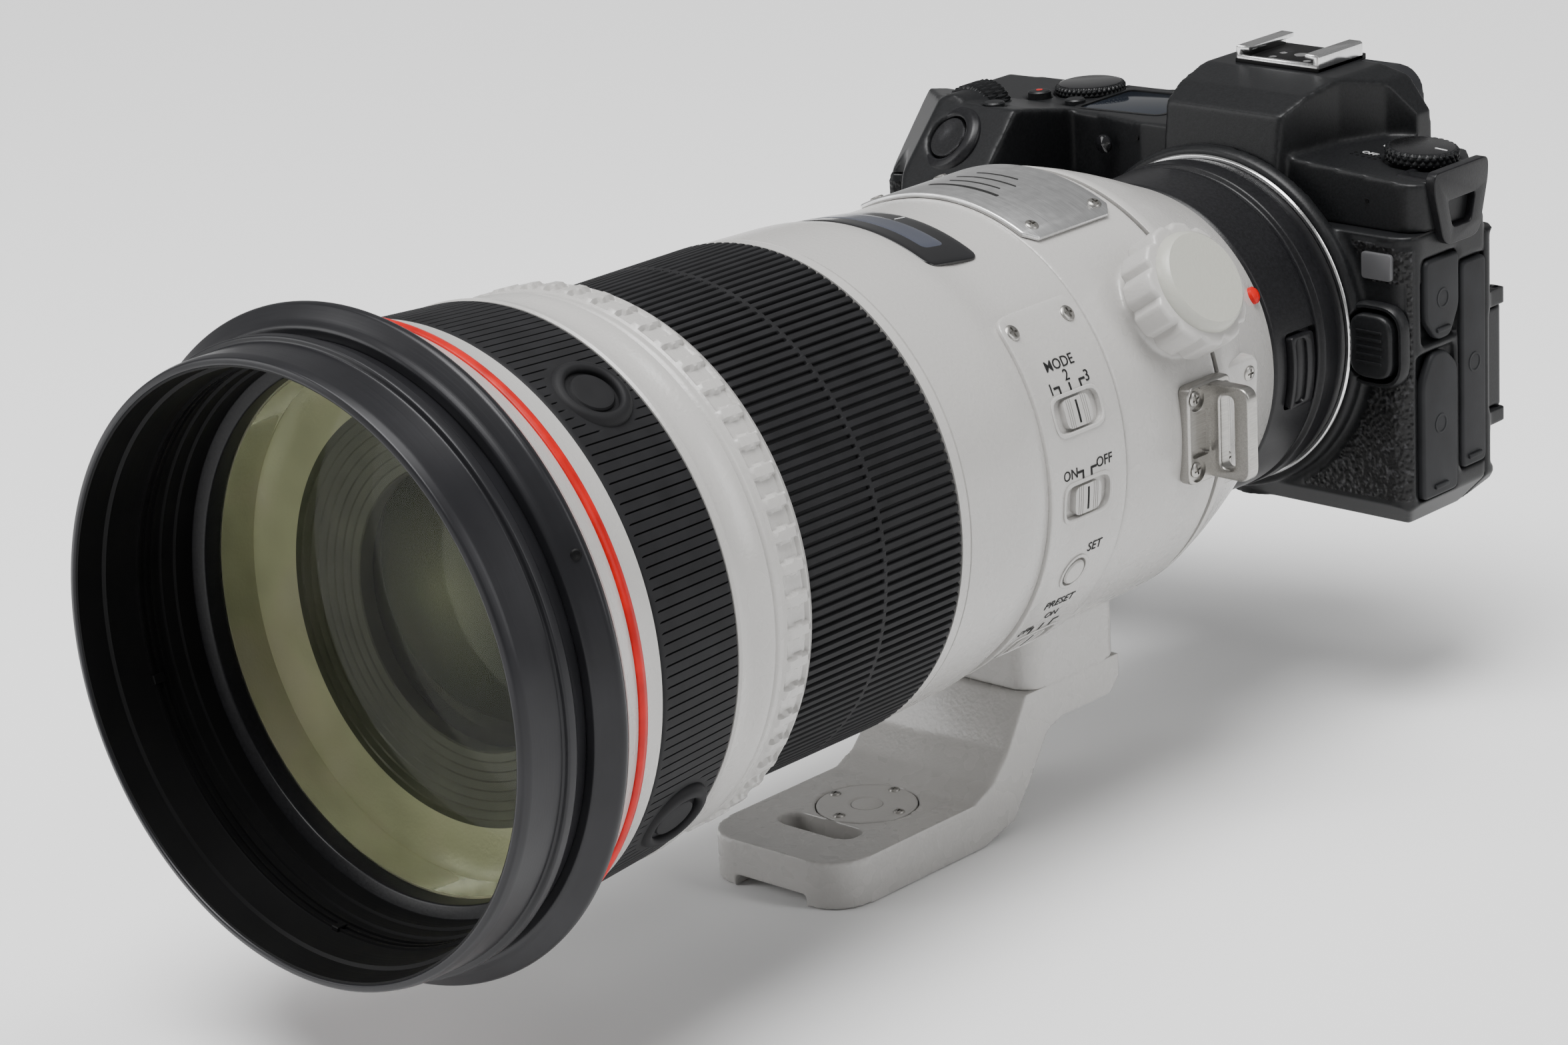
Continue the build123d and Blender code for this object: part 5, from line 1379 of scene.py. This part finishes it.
def plain_nodes():
    """CAD parts that are shown as they are, given their finish."""
    finish = {
        "focus_sleeve": ADAPTER,
        # the inner glass parts take the glass with the painted glow as well
        "focus_cell": PAINTED_GLOW_GLASS,
        "rear_glass": PAINTED_GLOW_GLASS,
        "lens_mount": BRIGHT,
        "mount_ring": BRIGHT,
        "sensor_unit": LINING,
        "battery": ADAPTER,
    }
    for node, look in finish.items():
        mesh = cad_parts[node].data
        mesh.materials.clear()
        mesh.materials.append(look)


# ---------------------------------------------------------------- build
for build in (
    front_group,
    glass_group,
    front_grip,
    playback_ring,
    focus_ring,
    middle_barrel,
    distance_window,
    switch_panel,
    panel_marks,
    name_plate,
    collar,
    lock_knob,
    strap_lugs,
    foot,
    rear_barrel,
    filter_holder,
    adapter,
    camera_body,
    side_covers,
    top_controls,
    hump_parts,
    front_details,
    back_parts,
    doors,
    plain_nodes,
):
    build()
strap_lug(1)
strap_lug(-1)


# ---------------------------------------------------------------- floor, light and camera
def floor():
    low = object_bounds()[0]
    mesh = bpy.data.meshes.new("floor")
    half = 6.0
    corners = [(-half, -half, 0), (half, -half, 0), (half, half, 0), (-half, half, 0)]
    mesh.from_pydata(corners, [], [(0, 1, 2, 3)])
    look = Look("floor_paper", "", (0.93, 0.93, 0.93), 0.75)
    look.tint(look.noise(400.0, 2.0), 0.995, 1.005)
    mesh.materials.append(look.material)
    sheet = bpy.data.objects.new("floor", mesh)
    sheet.location.z = low[2] - 0.0002
    bpy.context.collection.objects.link(sheet)
    sheet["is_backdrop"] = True


def lamp(name, place, aim, size, power, tall=None):
    data = bpy.data.lights.new(name, "AREA")
    data.shape = "RECTANGLE"
    data.size = size
    data.size_y = tall or size
    data.energy = power
    light = bpy.data.objects.new(name, data)
    light.location = place
    light.rotation_euler = (Vector(aim) - Vector(place)).to_track_quat("-Z", "Y").to_euler()
    bpy.context.collection.objects.link(light)


def studio():
    world = bpy.data.worlds.new("studio")
    bpy.context.scene.world = world
    world.use_nodes = True
    sky = world.node_tree.nodes["Background"]
    sky.inputs["Color"].default_value = (1.0, 1.0, 1.0, 1)
    sky.inputs["Strength"].default_value = 0.30
    sun = bpy.data.objects.new("sun", bpy.data.lights.new("sun", "SUN"))
    sun.data.energy = 3.3
    sun.data.angle = 0.6
    sun.rotation_euler = Vector((0.1, -0.35, 1.0)).to_track_quat("Z", "Y").to_euler()
    bpy.context.collection.objects.link(sun)
    centre = (0, 0, 0.07)
    lamp("overhead", (-0.05, -0.05, 1.0), centre, 0.4, 7.0, 1.0)
    lamp("left_wall", (-0.9, -0.9, 0.6), centre, 0.5, 6.0, 0.8)
    lamp("right_wall", (1.1, 0.35, 0.7), centre, 0.3, 3.5, 0.9)


def photo_camera():
    azimuth, elevation, roll = (math.radians(a) for a in (42.745, 18.212, -3.005))
    back = Vector(
        (
            math.sin(azimuth) * math.cos(elevation),
            -math.cos(azimuth) * math.cos(elevation),
            math.sin(elevation),
        )
    )
    right = Vector((math.cos(azimuth), math.sin(azimuth), 0))
    up = back.cross(right)
    turned_right = math.cos(roll) * right + math.sin(roll) * up
    turned_up = math.cos(roll) * up - math.sin(roll) * right
    data = bpy.data.cameras.new("camera")
    data.lens = 109.58
    data.sensor_width = 36.0
    data.sensor_fit = "HORIZONTAL"
    data.clip_end = 50
    camera = bpy.data.objects.new("camera", data)
    turn = Matrix((turned_right, turned_up, back)).transposed().to_4x4()
    camera.matrix_world = Matrix.Translation((0.604089, -0.674025, 0.368836)) @ turn
    bpy.context.collection.objects.link(camera)
    bpy.context.scene.camera = camera


floor()
studio()
photo_camera()
